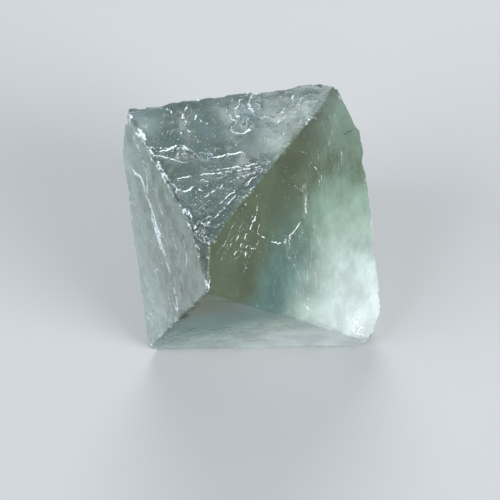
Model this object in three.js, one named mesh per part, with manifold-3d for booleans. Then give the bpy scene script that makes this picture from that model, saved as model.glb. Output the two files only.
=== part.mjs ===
// A fluorite octahedron: one crystal, split by hand along its eight cleavages, lying on one face.
// Millimetres, +Z up. The origin is on the surface it lies on, under the middle of the crystal.
//
// The crystal is shaped in its own axes first. There x, y and z run to the six corners of the
// ideal octahedron, and +z is the corner that ends in a short ridge. The finished solid is then
// laid on its base cleavage and turned about the vertical.

import * as THREE from "three";
import { mergeVertices } from "three/addons/utils/BufferGeometryUtils.js";
import Module from "manifold-3d";

const wasm = await Module();
wasm.setup();

// ---- Driving dimensions -------------------------------------------------------------------

const BLANK_REACH = 40; // from the middle to a corner of the uncut blank
const BLOCK = 120; // side of the blocks that cut the blank, larger than the crystal
const TURN = THREE.MathUtils.degToRad(-66.6); // about the vertical, once the crystal lies down

// The eight cleavages. "toward" is the way each face looks and "distance" is how far it lies from
// the middle. A hand-split crystal has uneven distances, so its corners end in short edges, and
// stepped faces lean a degree or two away from the ideal {111} directions.
const CLEAVAGES = {
  upper: { toward: [-1, 1, 1], distance: 13.1 },
  right: { toward: [0.99, 1.01, 1], distance: 10.6 },
  front: { toward: [0.98, -1.03, 0.99], distance: 11.3 },
  left: { toward: [-1.01, -0.98, 1.01], distance: 10.8 },
  back: { toward: [-1.06, 0.94, -1], distance: 11.0 },
  under_right: { toward: [0.955, 1.045, -1], distance: 11.2 },
  base: { toward: [1, -1, -1], distance: 12.8 },
  under_left: { toward: [-1.07, -0.93, -1], distance: 10.9 },
};

// Corners and the worn ridge that have broken off flat, given in the same way.
const BREAKS = [
  { toward: [0.41, 1.45, -0.85], distance: 14.0 }, // back right corner
  { toward: [-0.42, 1.45, -0.85], distance: 14.9 },
  { toward: [1.65, 0.39, -0.34], distance: 16.7 }, // front right corner
  { toward: [1.73, -0.04, 0.13], distance: 17.75 },
  { toward: [-0.83, -1.49, 0.3], distance: 16.4 }, // front left corner
  { toward: [-1.63, -0.58, 0.06], distance: 15.9 }, // back left corner
  { toward: [-0.84, -0.26, 1.49], distance: 15.8 }, // wedge along the top ridge
  { toward: [0.2, -0.15, -1.72], distance: 17.2 }, // hidden corner
];

// Cleavage steps: a thin layer of "depth" has split away inside each outline. The outline's
// points are [u, v] on the face: v runs toward the +z corner, and u to the right of it as seen
// from outside. A point beyond the face's edge lets the layer run out over that edge.
const STEPS = [
  { face: "upper", depth: 0.35, outline: [[13, -6.2], [9.4, -5.9], [7, -6.1], [6.6, -8], [13, -8]] },
  { face: "upper", depth: 0.28, outline: [[-2.4, -8], [-2.6, -6.2], [-5.2, -5.9], [-5.9, -6.5], [-6.2, -8]] },
  { face: "upper", depth: 0.16, outline: [[10, -0.4], [5.7, -0.4], [3.6, -0.2], [1.8, 1.4], [3.4, 2.1], [5.9, 0.6], [9, 1.4]] },
  { face: "upper", depth: 0.22, outline: [[2.6, 10.2], [0.9, 9.6], [-0.3, 10.4], [-1.6, 10], [-1.4, 16], [2, 16]] },
  { face: "right", depth: 0.14, outline: [[6.2, 6.7], [4.1, 7.2], [2.4, 7.4], [0.8, 4.6], [1.5, 2.8], [2.7, 1.1], [6.4, 0.6]] },
  { face: "right", depth: 0.3, outline: [[14, -2.6], [11.2, -3.4], [9.4, -5.4], [9.6, -9], [18, -9]] },
  { face: "right", depth: 0.26, outline: [[-8.2, -9], [-8.8, -5.6], [-10.4, -2.8], [-12.6, -1.6], [-16, -9]] },
  { face: "left", depth: 0.32, outline: [[-14, -3.6], [-9.1, -2.2], [-4.1, 0], [-1, -0.4], [-5, -3.4], [-14, -5.6]] },
  { face: "left", depth: 0.24, outline: [[-12, -2.2], [-7.6, 2.2], [-3.6, 7.2], [-1.4, 10.8], [-6, 14], [-15, 2]] },
  { face: "back", depth: 0.3, outline: [[-10, 5], [-4, 2.6], [0.5, 3.4], [1.4, 9], [-10, 9]] },
  { face: "back", depth: 0.18, outline: [[12, 1], [5.5, -0.6], [2.4, -4.6], [3.2, -9], [9, -9]] },
  { face: "under_right", depth: 0.26, outline: [[-14, 3.2], [-6.2, 1.8], [-3.6, 4.4], [-3.2, 12], [-14, 12]] },
  { face: "under_right", depth: 0.2, outline: [[9, -2.4], [4.2, -3.2], [1.4, -7.8], [2, -14], [12, -10]] },
  { face: "under_left", depth: 0.3, outline: [[13, 2.4], [6.6, 1.2], [2.2, 3.8], [2.4, 12], [13, 12]] },
  { face: "under_left", depth: 0.2, outline: [[-8, -1], [-3.2, -2.2], [-1.6, -6.8], [-3, -13], [-11, -8]] },
];

// Chips: shell-shaped scoops out of an edge between two faces. "at" is the way along the edge
// from its point nearest the middle, "radius" the scoop's own and "depth" how far it bites in.
const CHIPS = [
  { edge: ["upper", "left"], at: -8.4, radius: 1.6, depth: 0.34 },
  { edge: ["upper", "left"], at: -2.6, radius: 1.1, depth: 0.22 },
  { edge: ["upper", "left"], at: 3.2, radius: 1.9, depth: 0.3 },
  { edge: ["upper", "left"], at: 6.9, radius: 1.2, depth: 0.34 },
  { edge: ["upper", "right"], at: -5.4, radius: 1.4, depth: 0.26 },
  { edge: ["upper", "right"], at: 0.8, radius: 1.7, depth: 0.3 },
  { edge: ["upper", "right"], at: 4.6, radius: 1.1, depth: 0.24 },
  { edge: ["upper", "right"], at: 8.8, radius: 2.2, depth: 0.36 },
  { edge: ["upper", "back"], at: -6.4, radius: 1.5, depth: 0.3 },
  { edge: ["upper", "back"], at: 0.6, radius: 1.2, depth: 0.22 },
  { edge: ["upper", "back"], at: 7.2, radius: 1.8, depth: 0.3 },
  { edge: ["left", "front"], at: -5, radius: 1.3, depth: 0.26 },
  { edge: ["left", "front"], at: 2.4, radius: 1.8, depth: 0.34 },
  { edge: ["right", "front"], at: 3.4, radius: 1.5, depth: 0.2 },
  { edge: ["right", "under_right"], at: -3.8, radius: 1.6, depth: 0.24 },
  { edge: ["right", "under_right"], at: 5.6, radius: 1.3, depth: 0.26 },
  { edge: ["left", "under_left"], at: -4.6, radius: 1.5, depth: 0.28 },
  { edge: ["left", "under_left"], at: 3.8, radius: 1.9, depth: 0.24 },
  { edge: ["front", "base"], at: -3.2, radius: 1.6, depth: 0.2 },
  { edge: ["front", "base"], at: 6.1, radius: 1.2, depth: 0.22 },
  { edge: ["back", "under_right"], at: 3.4, radius: 1.7, depth: 0.34 },
  { edge: ["back", "under_left"], at: -3.6, radius: 2.1, depth: 0.4 },
  { edge: ["back", "under_left"], at: 5.2, radius: 1.4, depth: 0.28 },
];

const CHIP_ROUND = 14; // sides of a scoop's sphere
const CHIP_STRETCH = 1.5; // a scoop's length along its edge, over its width

// ---- Solids and geometries ----------------------------------------------------------------

// A closed three.js geometry as a manifold-3d solid.
function solidOf(geometry) {
  const bare = geometry.clone();
  bare.deleteAttribute("normal");
  bare.deleteAttribute("uv");
  const merged = mergeVertices(bare, 1e-4);
  return new wasm.Manifold(
    new wasm.Mesh({
      numProp: 3,
      vertProperties: merged.attributes.position.array,
      triVerts: new Uint32Array(merged.index.array),
    }),
  );
}

// A manifold-3d solid as a three.js geometry with flat faces.
function geometryOf(solid) {
  const mesh = solid.getMesh();
  const corners = new Float32Array(mesh.triVerts.length * 3);
  mesh.triVerts.forEach((vertex, corner) => {
    const start = vertex * mesh.numProp;
    corners.set(mesh.vertProperties.subarray(start, start + 3), corner * 3);
  });
  const geometry = new THREE.BufferGeometry();
  geometry.setAttribute("position", new THREE.BufferAttribute(corners, 3));
  geometry.computeVertexNormals();
  return geometry;
}

const pointing = (toward) => new THREE.Vector3(...toward).normalize();

// ---- The four ways that the crystal is cut ------------------------------------------------

// Takes away everything beyond a plane, with a block whose near side lies on it.
function split(solid, { toward, distance }) {
  const out = pointing(toward);
  const block = new THREE.BoxGeometry(BLOCK, BLOCK, BLOCK);
  block.translate(0, 0, BLOCK / 2);
  block.applyQuaternion(new THREE.Quaternion().setFromUnitVectors(new THREE.Vector3(0, 0, 1), out));
  block.translate(...out.multiplyScalar(distance));
  return solid.subtract(solidOf(block));
}

// The frame of a face: u to the right, v toward the +z corner, w outward, from the foot of the
// middle's perpendicular.
function faceFrame({ toward, distance }) {
  const w = pointing(toward);
  const v = new THREE.Vector3(0, 0, 1).addScaledVector(w, -w.z).normalize();
  const u = new THREE.Vector3().crossVectors(v, w);
  return new THREE.Matrix4().makeBasis(u, v, w).setPosition(w.clone().multiplyScalar(distance));
}

// Splits a thin layer off a face inside an outline.
function step(solid, { face, depth, outline }) {
  const shape = new THREE.Shape(outline.map(([u, v]) => new THREE.Vector2(u, v)));
  const layer = new THREE.ExtrudeGeometry(shape, { depth: depth + 1, bevelEnabled: false });
  layer.translate(0, 0, -depth);
  layer.applyMatrix4(faceFrame(CLEAVAGES[face]));
  return solid.subtract(solidOf(layer));
}

// The point of the edge between two faces that is nearest the middle, and the edge's direction.
function edgeLine(first, second) {
  const [a, b] = [pointing(first.toward), pointing(second.toward)];
  const along = new THREE.Vector3().crossVectors(a, b).normalize();
  const planes = new THREE.Matrix3().set(...a.toArray(), ...b.toArray(), ...along.toArray());
  const nearest = new THREE.Vector3(first.distance, second.distance, 0).applyMatrix3(planes.invert());
  return { nearest, along, out: a.add(b).normalize() };
}

// Bites one shell-shaped scoop out of an edge.
function chip(solid, { edge, at, radius, depth }) {
  const [first, second] = edge.map((name) => CLEAVAGES[name]);
  const { nearest, along, out } = edgeLine(first, second);
  const across = new THREE.Vector3().crossVectors(out, along);
  const scoop = new THREE.SphereGeometry(radius, CHIP_ROUND, CHIP_ROUND / 2);
  scoop.scale(CHIP_STRETCH, 1, 1);
  const middle = nearest.addScaledVector(along, at).addScaledVector(out, radius - depth);
  scoop.applyMatrix4(new THREE.Matrix4().makeBasis(along, across, out).setPosition(middle));
  return solid.subtract(solidOf(scoop));
}

// ---- The crystal --------------------------------------------------------------------------

function crystal() {
  let solid = solidOf(new THREE.OctahedronGeometry(BLANK_REACH));
  for (const cleavage of Object.values(CLEAVAGES)) solid = split(solid, cleavage);
  for (const broken of BREAKS) solid = split(solid, broken);
  for (const layer of STEPS) solid = step(solid, layer);
  for (const scoop of CHIPS) solid = chip(solid, scoop);
  const fluorite = new THREE.MeshStandardMaterial({
    name: "fluorite",
    color: 0x8fa893,
    roughness: 0.3,
    metalness: 0,
    transparent: true,
    opacity: 0.7,
  });
  const mesh = new THREE.Mesh(geometryOf(solid), fluorite);
  mesh.name = "fluorite_crystal";
  return mesh;
}

// Lays a piece on its base cleavage, turns it, and stands it on the origin.
function laidDown(piece) {
  const lay = new THREE.Quaternion().setFromUnitVectors(
    pointing(CLEAVAGES.base.toward),
    new THREE.Vector3(0, 0, -1),
  );
  const turn = new THREE.Quaternion().setFromAxisAngle(new THREE.Vector3(0, 0, 1), TURN);
  piece.quaternion.copy(turn.multiply(lay));
  const group = new THREE.Group();
  group.add(piece);
  const box = new THREE.Box3().setFromObject(group, true);
  const middle = box.getCenter(new THREE.Vector3());
  piece.position.set(-middle.x, -middle.y, -box.min.z);
  return group;
}

export default laidDown(crystal());
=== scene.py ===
"""A hand-split fluorite octahedron: the fine surface, the marks and the finish of one crystal.

Lengths are in millimetres until a mesh is made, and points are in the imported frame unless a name
says "flat". A flat point is (u, v) on a face: from the foot of the crystal's growth middle, v runs
toward the crystal's +z corner and u to the right of it as seen from outside.
"""

import logging
import math
from dataclasses import dataclass, field
from enum import Enum
from typing import Union

import bpy
import numpy as np
from mathutils import Matrix, Quaternion, Vector, noise
from mathutils.geometry import delaunay_2d_cdt


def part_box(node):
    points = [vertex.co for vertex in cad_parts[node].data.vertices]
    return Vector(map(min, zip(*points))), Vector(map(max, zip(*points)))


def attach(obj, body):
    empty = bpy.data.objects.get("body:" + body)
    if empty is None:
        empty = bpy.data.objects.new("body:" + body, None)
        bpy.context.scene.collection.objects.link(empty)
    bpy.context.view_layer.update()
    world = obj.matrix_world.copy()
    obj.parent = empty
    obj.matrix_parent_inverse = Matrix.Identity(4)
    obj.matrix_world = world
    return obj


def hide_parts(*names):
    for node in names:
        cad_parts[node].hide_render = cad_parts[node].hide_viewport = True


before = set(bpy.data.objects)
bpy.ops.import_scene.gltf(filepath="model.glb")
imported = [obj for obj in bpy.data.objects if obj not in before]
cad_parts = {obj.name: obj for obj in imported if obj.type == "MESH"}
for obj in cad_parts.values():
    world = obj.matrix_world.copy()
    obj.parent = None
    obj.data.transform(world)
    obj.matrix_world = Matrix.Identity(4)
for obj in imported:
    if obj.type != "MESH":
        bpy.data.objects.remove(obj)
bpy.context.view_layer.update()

LOG = logging.getLogger("fluorite")
MM = 0.001  # metres in a millimetre
NODE = "fluorite_crystal"
BODY = "root"
SEED = 20260
TINY = 1e-12  # keeps a division safe

Flat = tuple[float, float]
Triple = tuple[float, float, float]
Row = tuple[np.ndarray, bool]
Pairs = list[tuple[int, int]]
Triangles = list[tuple[int, int, int]]
Socket = bpy.types.NodeSocket
Input = Union[bpy.types.NodeSocket, float, Triple]


def no_points() -> np.ndarray:
    """An empty list of flat points."""
    return np.zeros((0, 2))


class Face(Enum):
    """The eight cleavage faces, each with the way that it ideally looks in the crystal's axes."""

    UPPER = (-1, 1, 1)
    RIGHT = (1, 1, 1)
    FRONT = (1, -1, 1)
    LEFT = (-1, -1, 1)
    BACK = (-1, 1, -1)
    UNDER_RIGHT = (1, 1, -1)
    BASE = (1, -1, -1)
    UNDER_LEFT = (-1, -1, -1)


# ---- Where the crystal stands ---------------------------------------------------------------


@dataclass(frozen=True)
class Attitude:
    """How the crystal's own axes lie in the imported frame.

    Attributes:
        turn_degrees: Its turn about the vertical, once it lies on its base face.
        middle_from_box: Its growth middle, from the middle of the CAD box.
    """

    turn_degrees: float = -66.6
    middle_from_box: Triple = (0.59, 0.14, -0.15)

    def rotation(self) -> Quaternion:
        """The rotation from the crystal's axes to the frame's."""
        lay = Vector(Face.BASE.value).rotation_difference(Vector((0, 0, -1)))
        return Quaternion((0, 0, 1), math.radians(self.turn_degrees)) @ lay

    def direction(self, crystal: Triple) -> np.ndarray:
        """A direction given in the crystal's axes, as a unit vector of the frame."""
        return np.array(self.rotation() @ Vector(crystal).normalized())

    def middle(self) -> np.ndarray:
        """The growth middle in the frame."""
        low, high = (np.array(corner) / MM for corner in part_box(NODE))
        return (low + high) / 2 + np.array(self.middle_from_box)


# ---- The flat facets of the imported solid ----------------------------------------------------


@dataclass
class Facet:
    """One outer plane of the crystal and the convex outline that it shows.

    Attributes:
        normal: Unit vector out of the crystal.
        foot: The origin of its flat points.
        across: The direction of u.
        upward: The direction of v.
        face: The cleavage face that it is, or None for a break.
        corners: Its outline's corners as flat points, anticlockwise from outside.
        beyond: For each side, the index of the facet on the other side of it.
    """

    normal: np.ndarray
    foot: np.ndarray
    across: np.ndarray
    upward: np.ndarray
    face: Face | None = None
    corners: np.ndarray = field(default_factory=no_points)
    beyond: list[int] = field(default_factory=list)

    def flat(self, points: np.ndarray) -> np.ndarray:
        """Flat points of points in space."""
        return np.stack([(points - self.foot) @ self.across, (points - self.foot) @ self.upward], -1)

    def space(self, flat: np.ndarray) -> np.ndarray:
        """Points in space of flat points."""
        return self.foot + flat[..., :1] * self.across + flat[..., 1:] * self.upward

    def depth_inside(self, flat: np.ndarray) -> np.ndarray:
        """How far flat points are inside each side of the outline.

        Args:
            flat: Flat points, N by 2.

        Returns:
            Distances, N by sides, below zero outside.
        """
        start = self.corners
        run = np.roll(self.corners, -1, 0) - start
        inward = np.stack([-run[:, 1], run[:, 0]], -1) / np.linalg.norm(run, axis=1)[:, None]
        return np.einsum("nsk,sk->ns", flat[:, None] - start[None], inward)


class Shell:
    """The crystal's convex shell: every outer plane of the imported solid, with its outline."""

    SAME_WAY = 0.99999  # the least dot product of two normals that are one
    LEAST_AREA = 1.5
    LEVEL = 0.02  # how far apart two planes that are one may lie
    BLANK = 60.0  # half the side of the square that each outline is cut from

    def __init__(self, attitude: Attitude) -> None:
        """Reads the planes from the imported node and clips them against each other.

        Args:
            attitude: Where the crystal stands.
        """
        self.attitude = attitude
        self.middle = attitude.middle()
        self.facets: list[Facet] = [self._facet(n, d) for n, d in self._planes()]
        self._name_faces()
        for index in range(len(self.facets)):
            self._outline(index)

    def _planes(self) -> list[tuple[np.ndarray, float]]:
        """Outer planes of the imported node.

        Returns:
            Unit normals, and distances from the growth middle, the largest areas first.
        """
        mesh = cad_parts[NODE].data
        points = np.array([v.co for v in mesh.vertices]) / MM - self.middle
        groups: list[list] = []
        for polygon in sorted(mesh.polygons, key=lambda p: -p.area):
            normal = np.array(polygon.normal)
            distance = float(points[polygon.vertices[0]] @ normal)
            for group in groups:
                if group[0] @ normal > self.SAME_WAY and abs(group[1] - distance) < self.LEVEL:
                    group[2] += polygon.area / MM**2
                    break
            else:
                groups.append([normal, distance, polygon.area / MM**2])
        outer = [g for g in groups if (points @ g[0]).max() < g[1] + self.LEVEL]
        return [(g[0], g[1]) for g in outer if g[2] > self.LEAST_AREA]

    def _facet(self, normal: np.ndarray, distance: float) -> Facet:
        """A facet on a plane, without its outline.

        Args:
            normal: The plane's unit normal.
            distance: Its distance from the growth middle.

        Returns:
            The facet, with its flat axes set.
        """
        axis = self.attitude.direction((0, 0, 1))
        upward = axis - normal * (axis @ normal)
        upward /= np.linalg.norm(upward)
        return Facet(normal, self.middle + normal * distance, np.cross(upward, normal), upward)

    def _name_faces(self) -> None:
        """Gives each cleavage face to the facet that looks its way most nearly."""
        for face in Face:
            ideal = self.attitude.direction(face.value)
            max(self.facets, key=lambda facet: facet.normal @ ideal).face = face

    def _outline(self, index: int) -> None:
        """Clips one facet's plane by all the others.

        Args:
            index: The facet's place in the list.
        """
        facet = self.facets[index]
        square = [(1, -1), (1, 1), (-1, 1), (-1, -1)]
        loop = [(np.array(corner) * self.BLANK, -1) for corner in square]
        for other, cutter in enumerate(self.facets):
            if other == index:
                continue
            slope = np.array([cutter.normal @ facet.across, cutter.normal @ facet.upward])
            limit = cutter.normal @ (cutter.foot - facet.foot)
            loop = self._clip(loop, slope, limit, other)
        facet.corners = np.array([point for point, _ in loop]).reshape(-1, 2)
        facet.beyond = [tag for _, tag in loop]

    @staticmethod
    def _clip(loop: list[tuple], slope: np.ndarray, limit: float, tag: int) -> list[tuple]:
        """Keeps the part of a convex loop where slope . point <= limit.

        Args:
            loop: Pairs of a corner and the tag of the side that starts there.
            slope: The cut's normal.
            limit: Its limit.
            tag: The tag for the new side.

        Returns:
            The clipped loop.
        """
        kept = []
        for (start, side), (end, _) in zip(loop, loop[1:] + loop[:1]):
            over_start, over_end = slope @ start - limit, slope @ end - limit
            if over_start <= 0:
                kept.append((start, side))
            if (over_start <= 0) != (over_end <= 0):
                crossing = start + (end - start) * over_start / (over_start - over_end)
                kept.append((crossing, tag if over_start <= 0 else side))
        return kept

    def by_face(self, face: Face) -> Facet:
        """The facet of a cleavage face."""
        return next(facet for facet in self.facets if facet.face is face)


# ---- Relief: what happened to the flat faces ------------------------------------------------


def smooth_path(points: np.ndarray, spacing: float) -> np.ndarray:
    """A Catmull-Rom curve through points, at even steps.

    Args:
        points: The points, N by 2.
        spacing: The step's length.

    Returns:
        The curve's points.
    """
    padded = np.vstack([2 * points[0] - points[1], points, 2 * points[-1] - points[-2]])
    rows = []
    for a, b, c, d in zip(padded, padded[1:], padded[2:], padded[3:]):
        t = np.linspace(0, 1, 12, endpoint=False)[:, None]
        square, cube = 2 * a - 5 * b + 4 * c - d, 3 * b - a - 3 * c + d
        rows.append(0.5 * (2 * b + (c - a) * t + square * t**2 + cube * t**3))
    dense = np.vstack(rows + [points[-1:]])
    lengths = np.concatenate([[0], np.cumsum(np.linalg.norm(np.diff(dense, axis=0), axis=1))])
    even = np.linspace(0, lengths[-1], max(3, int(lengths[-1] / spacing) + 1))
    return np.stack([np.interp(even, lengths, dense[:, k]) for k in (0, 1)], -1)


def smooth_random(values: np.ndarray, width: int) -> np.ndarray:
    """A running mean of values, shorter by width - 1."""
    return np.convolve(values, np.ones(width) / width, "valid")


def leftward(path: np.ndarray) -> np.ndarray:
    """The directions to the left of a path.

    Args:
        path: The path's points, N by 2.

    Returns:
        A unit direction for each point.
    """
    run = np.gradient(path, axis=0)
    run /= np.maximum(np.linalg.norm(run, axis=1)[:, None], TINY)
    return np.stack([-run[:, 1], run[:, 0]], -1)


def riser_rows(path: np.ndarray, lower: np.ndarray, width: float, clear: float) -> list[Row]:
    """The rows of points that a riser needs: lip and foot joined, and a loose row outside each.

    Args:
        path: The lip's points, N by 2.
        lower: The directions to the lower side.
        width: The riser's width.
        clear: How far outside the riser the loose rows are.

    Returns:
        Rows of flat points, and whether each row is joined.
    """
    offsets = [(-clear, False), (0.0, True), (width, True), (width + clear, False)]
    return [(path + lower * offset, joined) for offset, joined in offsets]


def close_to(flat: np.ndarray, path: np.ndarray, margin: float) -> np.ndarray:
    """Which flat points are in a path's box or less than a margin outside it.

    Args:
        flat: Flat points, N by 2.
        path: The path's points, M by 2.
        margin: The margin.

    Returns:
        Their indices.
    """
    low, high = path.min(0) - margin, path.max(0) + margin
    return np.flatnonzero(((flat > low) & (flat < high)).all(1))


def nearest_on_path(flat: np.ndarray, path: np.ndarray) -> tuple[np.ndarray, np.ndarray, np.ndarray]:
    """How flat points lie beside a path.

    Args:
        flat: Flat points, N by 2.
        path: The path's points, M by 2.

    Returns:
        For each point, its distance, its side (1 left of the path, -1 right), and how far along
        the path it is, from 0 to 1.
    """
    start, run = path[:-1], np.diff(path, axis=0)
    length = np.maximum((run**2).sum(1), TINY)
    offset = flat[:, None] - start[None]
    along = np.clip((offset * run[None]).sum(2) / length, 0, 1)
    gap = offset - along[..., None] * run[None]
    squared = (gap**2).sum(2)
    best = squared.argmin(1)
    row = np.arange(len(flat))
    cross = run[best, 0] * offset[row, best, 1] - run[best, 1] * offset[row, best, 0]
    return np.sqrt(squared[row, best]), np.sign(cross), (best + along[row, best]) / len(run)


@dataclass
class Relief:
    """What the fine surface is at some flat points: how deep it lies and how white it is.

    Attributes:
        depth: Millimetres below the facet's plane.
        frost_and_glint: How white and rough, from 0 to 1: crushed crystal, partly painted glints.
    """

    depth: np.ndarray
    frost_and_glint: np.ndarray


@dataclass
class StepLine:
    """A cleavage step line: the face drops by a hair across it and climbs back further on.

    Attributes:
        points: Flat points that it passes through.
        drop: Its height.
        frost_and_glint: How white the riser is: crushed crystal, partly a painted glint.
        wander: How far it strays sideways.
        width: The riser's width.
        side: Which side is lower, 1 for left of the line and -1 for right.
        reach: How far the lower side takes to climb back.
        path: The path with its wander, once it is laid.
        grain: How much of the frost there is along the path, once it is laid.
    """

    points: list[Flat]
    drop: float = 0.05
    frost_and_glint: float = 0.9
    wander: float = 0.07
    width: float = 0.038
    side: int = 1
    reach: float = 1.6
    path: np.ndarray = field(default_factory=no_points)
    grain: np.ndarray = field(default_factory=no_points)

    SPACING = 0.16  # between the path's points
    CLEAR = 0.028  # from the riser to the loose rows
    JITTER = 0.6  # how much of the wander is from point to point
    DRIFT = 1.6  # how much of it is over DRIFT_OVER points
    DRIFT_OVER = 5
    GRAIN_OVER = 3
    GRAIN_FLOOR, GRAIN_GAIN, GRAIN_LIMITS = 0.22, 3.2, (0.35, 1.3)
    LEAST_MARGIN = 0.3
    RUN_OUT = 7  # the line fades in and out over one part in this many
    PAST_LIP, PAST_FOOT = 0.018, 0.022  # how far the white goes past the riser

    def lay(self, random: np.random.Generator) -> None:
        """Works out the path and the grain.

        Args:
            random: The source of its wander.
        """
        path = smooth_path(np.array(self.points, float), self.SPACING)
        stray = random.normal(0, self.JITTER, len(path))
        drift = random.normal(0, self.DRIFT, len(path) + self.DRIFT_OVER - 1)
        stray = stray + smooth_random(drift, self.DRIFT_OVER)
        self.path = path + leftward(path) * (stray * self.wander)[:, None]
        rough = smooth_random(random.random(len(path) + self.GRAIN_OVER - 1), self.GRAIN_OVER)
        self.grain = np.clip((rough - self.GRAIN_FLOOR) * self.GRAIN_GAIN, *self.GRAIN_LIMITS)

    def rings(self) -> list[Row]:
        """The rows of points that the mesh needs, as riser_rows gives them."""
        return riser_rows(self.path, leftward(self.path) * self.side, self.width, self.CLEAR)

    def add_to(self, flat: np.ndarray, relief: Relief) -> None:
        """Adds the line's depth and frost at flat points.

        Args:
            flat: Flat points, N by 2.
            relief: Gets the additions.
        """
        near = close_to(flat, self.path, max(self.reach, self.LEAST_MARGIN))
        if not len(near):
            return
        distance, side, along = nearest_on_path(flat[near], self.path)
        offset = distance * side * self.side
        taper = np.clip(np.minimum(along, 1 - along) * self.RUN_OUT, 0, 1)
        climb = np.clip(offset / self.width, 0, 1) * np.clip(1 - offset / self.reach, 0, 1) ** 2
        relief.depth[near] += self.drop * taper * climb
        band = (offset > -self.PAST_LIP) & (offset < self.width + self.PAST_FOOT) & (taper > 0)
        grain = np.interp(along, np.linspace(0, 1, len(self.grain)), self.grain)
        white = self.frost_and_glint * grain * np.clip(taper * 2, 0, 1) * band
        relief.frost_and_glint[near] = np.maximum(relief.frost_and_glint[near], white)


@dataclass
class Terrace:
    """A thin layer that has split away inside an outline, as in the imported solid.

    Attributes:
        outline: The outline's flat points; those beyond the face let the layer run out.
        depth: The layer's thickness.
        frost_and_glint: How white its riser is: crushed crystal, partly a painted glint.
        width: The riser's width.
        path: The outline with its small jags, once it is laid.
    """

    outline: list[Flat]
    depth: float
    frost_and_glint: float = 0.5
    width: float = 0.14
    path: np.ndarray = field(default_factory=no_points)

    SPACING = 0.22  # between the path's points
    CLEAR = 0.06  # from the riser to the loose rows
    JAG = 0.16  # how far the outline strays
    JAG_OVER = 7  # over how many points
    MARGIN = 0.3
    PAST_RISER = 0.025  # how far the white goes past the riser

    def lay(self, random: np.random.Generator) -> None:
        """Works out the outline with its small jags.

        Args:
            random: The source of the jags.
        """
        corners = np.array(self.outline + self.outline[:1], float)
        rows = []
        for start, end in zip(corners, corners[1:]):
            count = max(2, int(np.linalg.norm(end - start) / self.SPACING))
            rows.append(start + (end - start) * np.linspace(0, 1, count, endpoint=False)[:, None])
        path = np.vstack(rows)
        stray = smooth_random(random.normal(0, self.JAG, len(path) + self.JAG_OVER - 1), self.JAG_OVER)
        path = path + leftward(path) * stray[:, None]
        self.path = np.vstack([path, path[:1]])

    def _inside(self, flat: np.ndarray) -> np.ndarray:
        """Whether flat points are inside the outline, by counting crossings.

        Args:
            flat: Flat points, N by 2.

        Returns:
            True or False for each point.
        """
        x, y = flat[:, :1], flat[:, 1:]
        ax, ay = self.path[:-1].T
        bx, by = self.path[1:].T
        crosses = (ay > y) != (by > y)
        slope = np.where(by == ay, TINY, by - ay)
        return ((crosses & (x < (bx - ax) * (y - ay) / slope + ax)).sum(1) % 2).astype(bool)

    def rings(self) -> list[Row]:
        """The rows of points that the mesh needs, as riser_rows gives them."""
        turning = np.sign(np.cross(self.path[:-1], self.path[1:]).sum()) or 1.0
        return riser_rows(self.path, leftward(self.path) * turning, self.width, self.CLEAR)

    def add_to(self, flat: np.ndarray, relief: Relief) -> None:
        """Adds the layer's depth and its riser's frost at flat points.

        Args:
            flat: Flat points, N by 2.
            relief: Gets the additions.
        """
        near = close_to(flat, self.path, self.MARGIN)
        if not len(near):
            return
        distance, _, _ = nearest_on_path(flat[near], self.path)
        offset = np.where(self._inside(flat[near]), distance, -distance)
        relief.depth[near] += self.depth * np.clip(offset / self.width, 0, 1)
        band = (offset > -self.PAST_RISER) & (offset < self.width + self.PAST_RISER)
        relief.frost_and_glint[near] = np.maximum(relief.frost_and_glint[near], self.frost_and_glint * band)


Mark = Union[StepLine, Terrace]


@dataclass
class StreakField:
    """Many short step lines that lie nearly one way.

    Attributes:
        middle: The field's middle as a flat point.
        spread: Its half lengths along and across the streaks.
        direction: The streaks' direction in degrees from u toward v.
        count: How many there are.
        length: The shortest and longest streak.
        fan: How far the direction turns across the field, in degrees.
        drop: Their height.
        frost_and_glint: How white they are: crushed crystal, partly painted glints.
        wander: How far they stray sideways.
        width: Their risers' width.
    """

    middle: Flat
    spread: Flat
    direction: float
    count: int
    length: Flat = (1.0, 3.0)
    fan: float = 0.0
    drop: float = 0.025
    frost_and_glint: float = 0.5
    wander: float = 0.04
    width: float = 0.02

    ASTRAY = 3  # degrees that a streak's direction strays
    BOW = 0.04  # how far a streak bows, as a share of its length
    THROUGH = (-0.5, -0.17, 0.17, 0.5)  # where on its length its points are
    DROPS, WIDTHS, FROSTS, REACHES = (0.5, 1.5), (0.8, 1.4), (0.3, 1.3), (0.4, 1.0)

    @staticmethod
    def _axes(angle: float) -> tuple[np.ndarray, np.ndarray]:
        """The flat directions at an angle in radians and across it."""
        run = np.array([math.cos(angle), math.sin(angle)])
        return run, np.array([-run[1], run[0]])

    def lines(self, random: np.random.Generator) -> list[StepLine]:
        """Scatters the field's streaks.

        Args:
            random: The source of their places.

        Returns:
            One step line per streak.
        """
        lines = []
        base = math.radians(self.direction)
        for _ in range(self.count):
            along, across = random.uniform(-1, 1, 2)
            run, aside = self._axes(base)
            start = np.array(self.middle) + run * along * self.spread[0] + aside * across * self.spread[1]
            run, aside = self._axes(base + math.radians(self.fan * across + random.normal(0, self.ASTRAY)))
            length = random.uniform(*self.length)
            bow = random.normal(0, self.BOW) * length
            points = [tuple(start + run * length * t + aside * bow * 4 * t * (1 - t)) for t in self.THROUGH]
            drop = self.drop * random.uniform(*self.DROPS)
            reach = random.uniform(*self.REACHES)
            width = self.width * random.uniform(*self.WIDTHS)
            frost_and_glint = self.frost_and_glint * random.uniform(*self.FROSTS)
            side = int(random.choice([-1, 1]))
            lines.append(StepLine(points, drop, frost_and_glint, self.wander, width, side, reach))
        return lines


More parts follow.
